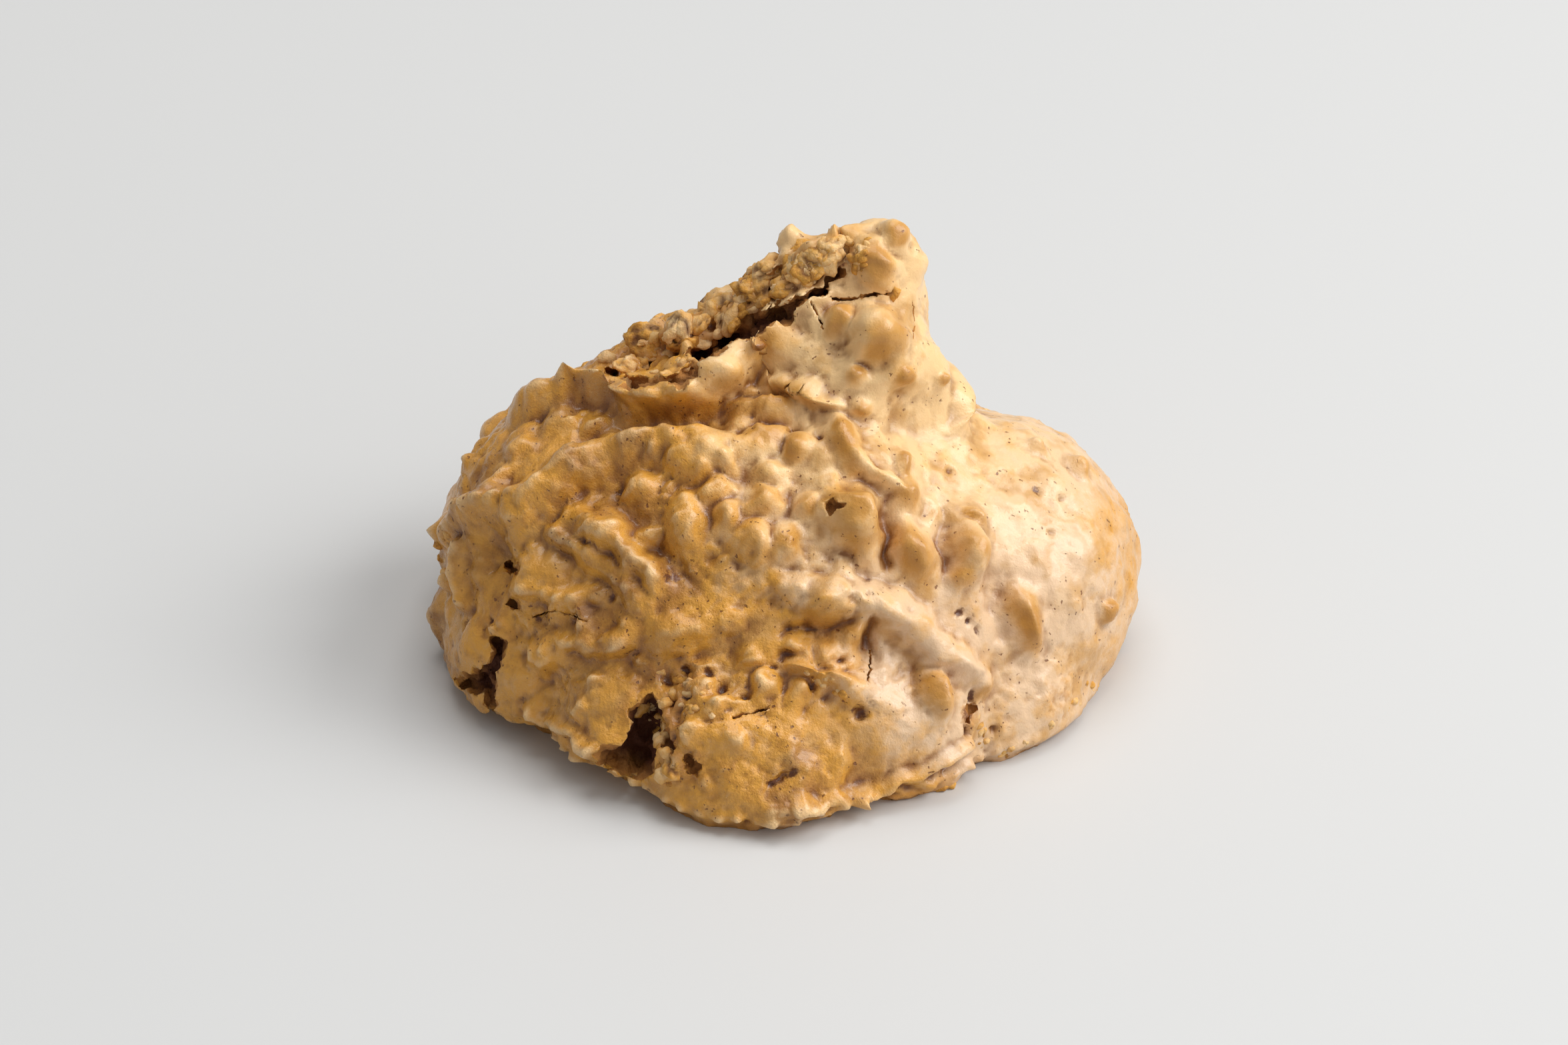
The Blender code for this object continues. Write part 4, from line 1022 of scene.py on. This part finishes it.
def crumb_bits(colours):
    """Loose bits of baked meringue and chopped hazelnut: dry and matt, each browned differently, with
    painted shade in the hollows between their crags.
    """
    material, tree, shader = start_material("baked_meringue_bits")
    place, tint, hollow = [add_node(tree, kind) for kind in (PLACE, STORED["tint"], STORED["hollow"])]
    patch = add_node(tree, GRAINS, place, per_metre(BIT_WIDTH), 4.0, 0.6)
    shade = add_node(tree, TIMES_PLUS, tint, 0.45, patch)
    base = add_node(tree, BLEND, add_node(tree, RAMP, shade, 0.45, 0.85), colours.honey, colours.golden)
    base = add_node(tree, BLEND, add_node(tree, RAMP, shade, 0.85, 1.15), base, colours.toasted)
    # Painted shade: deep brown in the hollows between the crags.
    crag_shade = add_node(tree, RAMP, hollow, 0.0, 0.25, 0.0, 0.75)
    base = add_node(tree, BLEND, crag_shade, base, colours.deep)
    tree.links.new(base, shader.inputs["Base Color"])
    shader.inputs["Roughness"].default_value = 0.7
    let_light_in(shader, 0.10)
    fine = add_node(tree, GRAINS, place, per_metre(BIT_GRIT_WIDTH), 3.0, 0.55)
    relief = add_node(tree, RELIEF, 0.7, 0.18 * MM, BUMP_FILTER, add_node(tree, PLUS, patch, fine))
    tree.links.new(relief, shader.inputs["Normal"])
    return material


def floor_paint(studio):
    """Matt pale paint: a plain ground that keeps the shadow soft."""
    material, _, shader = start_material("matt_pale_paint")
    shader.inputs["Base Color"].default_value = studio.floor
    shader.inputs["Roughness"].default_value = 0.4
    return material


class COOKIE_OT_crust(Operator):
    """The whole baked lump: spoonfuls, nuts and folds under the skin, cracks, and a flat foot"""
    bl_idname = "cookie.crust"
    bl_label = "Crust"

    def execute(self, context):
        noise.seed_set(SEED)
        sizes = context.scene.cookie_crust
        item = ball_cluster("meringue_lump", [(*s, None) for s in SPOONFULS.values()], 5)
        fuse(item, HEAP_VOXEL, HEAP_ROUNDS)
        surface = surface_of(item)
        luck = random.Random(SEED)
        nuts = [*seen_bumps(LUMPS, surface), *hidden_nuts(surface, luck)]
        folds = [*fold_bumps(surface), *hidden_folds(surface, luck)]
        lumps = nuts + [*small_bumps(surface, luck), *ridge_bumps(surface, luck)]
        rough_spots = rough_spots_on(surface, luck)
        nut_spots = nut_spots_on(surface, luck)
        refine(item)
        pits = list(pit_bumps(surface))
        drape(item, lumps, folds, [*seen_bumps(HOLLOWS, surface), *pits], rough_spots, sizes)
        whole = surface_of(item)
        self.split(item, whole, sizes)
        cut(item, floor_box(), "INTERSECT")
        self.note(item, whole, nuts, pits, rough_spots, nut_spots)
        self.paint(item, context.scene.cookie_colours)
        fit(item, *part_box(NODE))
        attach(item, ROOT)
        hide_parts(NODE)
        return {"FINISHED"}

    def split(self, item, whole, sizes):
        """Cuts the cracks, the holes and the hairlines."""
        hollows = ball_cluster("hollows", crack_balls(whole), 2)
        fuse(hollows, CUTTER_VOXEL, 1)
        roughen(hollows, sizes.wall_grain / MM)
        cut(item, hollows, "DIFFERENCE")
        for number, (width, depth, path) in enumerate(HAIRLINES):
            cut(item, blade(f"hairline_{number}", width, depth, path, whole), "DIFFERENCE")

    def note(self, item, whole, nuts, pits, rough_spots, nut_spots):
        """Stores what the materials read at each corner."""
        mesh = item.data
        places = coordinates(mesh)
        depth = np.array([whole.find_nearest(Vector(place) * MM)[3] / MM for place in places])
        depth[places[:, 2] < FLOOR_TRIM + 0.05] = 0.0
        # depth also paints shade: the broken meringue is drawn darker the deeper it lies.
        keep(mesh, "depth", depth)
        keep(mesh, "raised", height_over(bend(places), [(*nut[:3], 1.0, *nut[4:]) for nut in nuts]))
        # hollow: creases for painted shade and less browning, convex tops for a painted highlight.
        keep(mesh, "hollow", hollowness(mesh, HOLLOW_ROUNDS))
        # pit: where the soft pits are, for the painted shade in them.
        keep(mesh, "pit", height_over(bend(places), [(*pit[:3], 1.0, *pit[4:]) for pit in pits]))
        keep(mesh, "rough", nearness(places, rough_spots))
        keep(mesh, "nut", nearness(places, nut_spots))
        keep(mesh, "foot", np.exp(-(places[:, 2] / DARK_FOOT) ** 2))
        # pale: cream on the lit right and toward the peak, partly the skin's own colour and partly painted
        # light; darker again at the far right edge as painted shade.
        keep(mesh, "pale", cream_and_painted_light(*places.T))

    def paint(self, item, colours):
        mesh = item.data
        mesh.materials.clear()
        mesh.materials.append(meringue_skin(colours))
        mesh.materials.append(meringue_crumb(colours))
        depth = np.empty(len(mesh.vertices), dtype=np.float32)
        mesh.attributes["depth"].data.foreach_get("value", depth)
        broken = np.array([depth[list(face.vertices)].mean() for face in mesh.polygons]) > BROKEN_FROM
        mesh.polygons.foreach_set("material_index", broken.astype(np.int32))
        mesh.shade_smooth()


class COOKIE_OT_crumbs(Operator):
    """Crumbs of broken meringue and chopped nut that cling to the crest, the hollows and the foot"""
    bl_idname = "cookie.crumbs"
    bl_label = "Crumbs"

    def execute(self, context):
        crust = bpy.data.objects["meringue_lump"]
        surface = surface_of(crust)
        luck = random.Random(SEED + 2)
        deselect()
        bpy.ops.mesh.primitive_ico_sphere_add(subdivisions=3, radius=MM)
        crumb = context.object
        copies = []
        for spot in self.spots(surface, luck, context.scene.cookie_crust.hidden_crumbs):
            copies.append(self.copy_of(crumb, *spot, luck))
        bpy.data.objects.remove(crumb)
        deselect()
        for copy in copies:
            copy.select_set(True)
        context.view_layer.objects.active = copies[0]
        bpy.ops.object.join()
        item = context.object
        item.name = "meringue_crumbs"
        self.crumble(item)
        item.data.materials.clear()
        item.data.materials.append(crumb_bits(context.scene.cookie_colours))
        item.data.shade_smooth()
        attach(item, ROOT)
        return {"FINISHED"}

    def spots(self, surface, luck, hidden_count):
        """Where each crumb sits, the normal there, the way its run goes, its size and its flatness."""
        for count, smallest, largest, stray, flat, path in CRUMB_RUNS:
            turn = math.degrees(math.atan2(path[-1][1] - path[0][1], path[-1][0] - path[0][0]))
            for _ in range(count):
                place, normal = near_path(path, stray, surface, luck)
                yield place, normal, in_view(turn), luck.uniform(smallest, largest), flat
        rough = list(chance_spots(surface, random.Random(SEED), HIDDEN_ROUGH_RADII, 0.9))
        for _ in range(hidden_count):
            centre, radius, _ = luck.choice(rough)
            stray = Vector([luck.uniform(-radius, radius) for _ in range(3)])
            place, normal, _, _ = surface.find_nearest((Vector(centre) + stray) * MM)
            yield place / MM, normal, EYE_RIGHT, luck.uniform(*HIDDEN_CRUMB_SIZES), 0.7

    def copy_of(self, crumb, place, normal, way, size, flat, luck):
        """One crumb in its place: its own mesh, stretched along its run, turned a little by chance
        and sunk into the crust."""
        copy = crumb.copy()
        copy.data = crumb.data.copy()
        bpy.context.scene.collection.objects.link(copy)
        across = normal.cross(way).normalized()
        thin = (normal * 0.5 + across * luck.uniform(0.2, 1.0)).normalized()
        along = (way - thin * way.dot(thin)).normalized()
        axes = Matrix((along, thin.cross(along), thin)).transposed().to_4x4()
        wobble = Matrix.Rotation(luck.gauss(0, 0.5), 4, Vector([luck.gauss(0, 1) for _ in range(3)]))
        wide = size * luck.uniform(0.6, 1.0)
        thick = size * flat * luck.uniform(0.8, 1.2)
        stretch = Matrix.Diagonal((size, wide, thick, 1))
        sunk = place - normal * CRUMB_SUNK * size
        low = max(sunk.z, CRUMB_LOWEST * size)
        moved = Matrix.Translation(Vector((sunk.x, sunk.y, low)) * MM) @ wobble @ axes @ stretch
        copy.data.transform(moved)
        keep(copy.data, "tint", np.full(len(copy.data.vertices), luck.random()))
        keep(copy.data, "size", np.full(len(copy.data.vertices), size))
        return copy

    def crumble(self, item):
        """Makes the smooth balls craggy, the big ones most."""
        mesh = item.data
        places = coordinates(mesh)
        sizes = np.empty(len(mesh.vertices), dtype=np.float32)
        mesh.attributes["size"].data.foreach_get("value", sizes)
        wide, cell = CRAG_WIDTHS
        crags = np.array([
            noise.fractal(p / wide, 0.7, 2.0, 3) * 0.5 + (0.4 - noise.voronoi(p / cell)[0][0]) * 0.35
            for p in map(Vector, places)])
        crags *= np.minimum(1.0, sizes / CRAGGY_FROM)
        moved = places + normals_of(mesh) * crags[:, None]
        moved[:, 2] = np.maximum(moved[:, 2], 0.02)
        move_to(mesh, moved)
        # The crags' hollows are kept for the painted shade in them.
        keep(mesh, "hollow", -crags)


class COOKIE_OT_studio(Operator):
    """A plain pale floor, soft studio light from the right, and a camera at the photograph's angle"""
    bl_idname = "cookie.studio"
    bl_label = "Studio"

    def execute(self, context):
        scene = context.scene
        studio = scene.cookie_studio
        deselect()
        bpy.ops.mesh.primitive_plane_add(size=FLOOR_SIZE)
        floor = context.object
        floor.name = "studio_floor"
        floor.data.materials.append(floor_paint(studio))
        world = bpy.data.worlds.new("studio")
        scene.world = world
        world.use_nodes = True
        background = world.node_tree.nodes["Background"]
        background.inputs["Color"].default_value = (1.0, 1.0, 1.0, 1.0)
        background.inputs["Strength"].default_value = studio.fill
        for name, power in zip(LAMPS, (studio.key_power, studio.top_power, studio.front_power)):
            self.lamp(name, *LAMPS[name], power)
        self.camera(context, studio.lens)
        scene.view_settings.view_transform = "Standard"
        return {"FINISHED"}

    def lamp(self, name, azimuth, elevation, distance, size, power):
        """A square soft light that looks at the cookie."""
        turn, lift = math.radians(azimuth), math.radians(elevation)
        way = Vector((math.cos(lift) * math.cos(turn), math.cos(lift) * math.sin(turn), math.sin(lift)))
        bpy.ops.object.light_add(type="AREA", location=way * distance)
        lamp = bpy.context.object
        lamp.name = name
        lamp.data.energy = power
        lamp.data.size = size
        lamp.rotation_euler = (-way).to_track_quat("-Z", "Y").to_euler()

    def camera(self, context, lens):
        aim = EYE_UP * AIM_UP * MM
        bpy.ops.object.camera_add(location=aim + EYE_BACK * EYE_DISTANCE * MM)
        camera = context.object
        camera.name = "photo_camera"
        camera.data.lens = lens
        camera.data.sensor_width = SENSOR
        camera.data.clip_end = CAMERA_REACH
        camera.rotation_euler = (-EYE_BACK).to_track_quat("-Z", "Y").to_euler()
        context.scene.camera = camera


class COOKIE_PT_panel(Panel):
    """Lists the pieces of the cookie, with their sizes and colours"""
    bl_label = "Brutti ma buoni"
    bl_idname = "COOKIE_PT_panel"
    bl_space_type = "VIEW_3D"
    bl_region_type = "UI"
    bl_category = "Cookie"

    def draw(self, context):
        for group in GROUPS:
            settings = getattr(context.scene, group)
            box = self.layout.box()
            for name in settings.__annotations__:
                box.prop(settings, name)
        for operator in OPERATORS:
            self.layout.operator(operator.bl_idname)


GROUPS = {"cookie_crust": CookieCrust, "cookie_colours": CookieColours, "cookie_studio": CookieStudio}
OPERATORS = (COOKIE_OT_studio, COOKIE_OT_crust, COOKIE_OT_crumbs)
CLASSES = (*GROUPS.values(), *OPERATORS, COOKIE_PT_panel)


def register():
    for cls in CLASSES:
        bpy.utils.register_class(cls)
    for name, group in GROUPS.items():
        setattr(bpy.types.Scene, name, PointerProperty(type=group))


def unregister():
    for name in GROUPS:
        delattr(bpy.types.Scene, name)
    for cls in reversed(CLASSES):
        bpy.utils.unregister_class(cls)


def main():
    register()
    bpy.ops.cookie.studio()
    bpy.ops.cookie.crust()
    bpy.ops.cookie.crumbs()


if __name__ == "__main__":
    main()
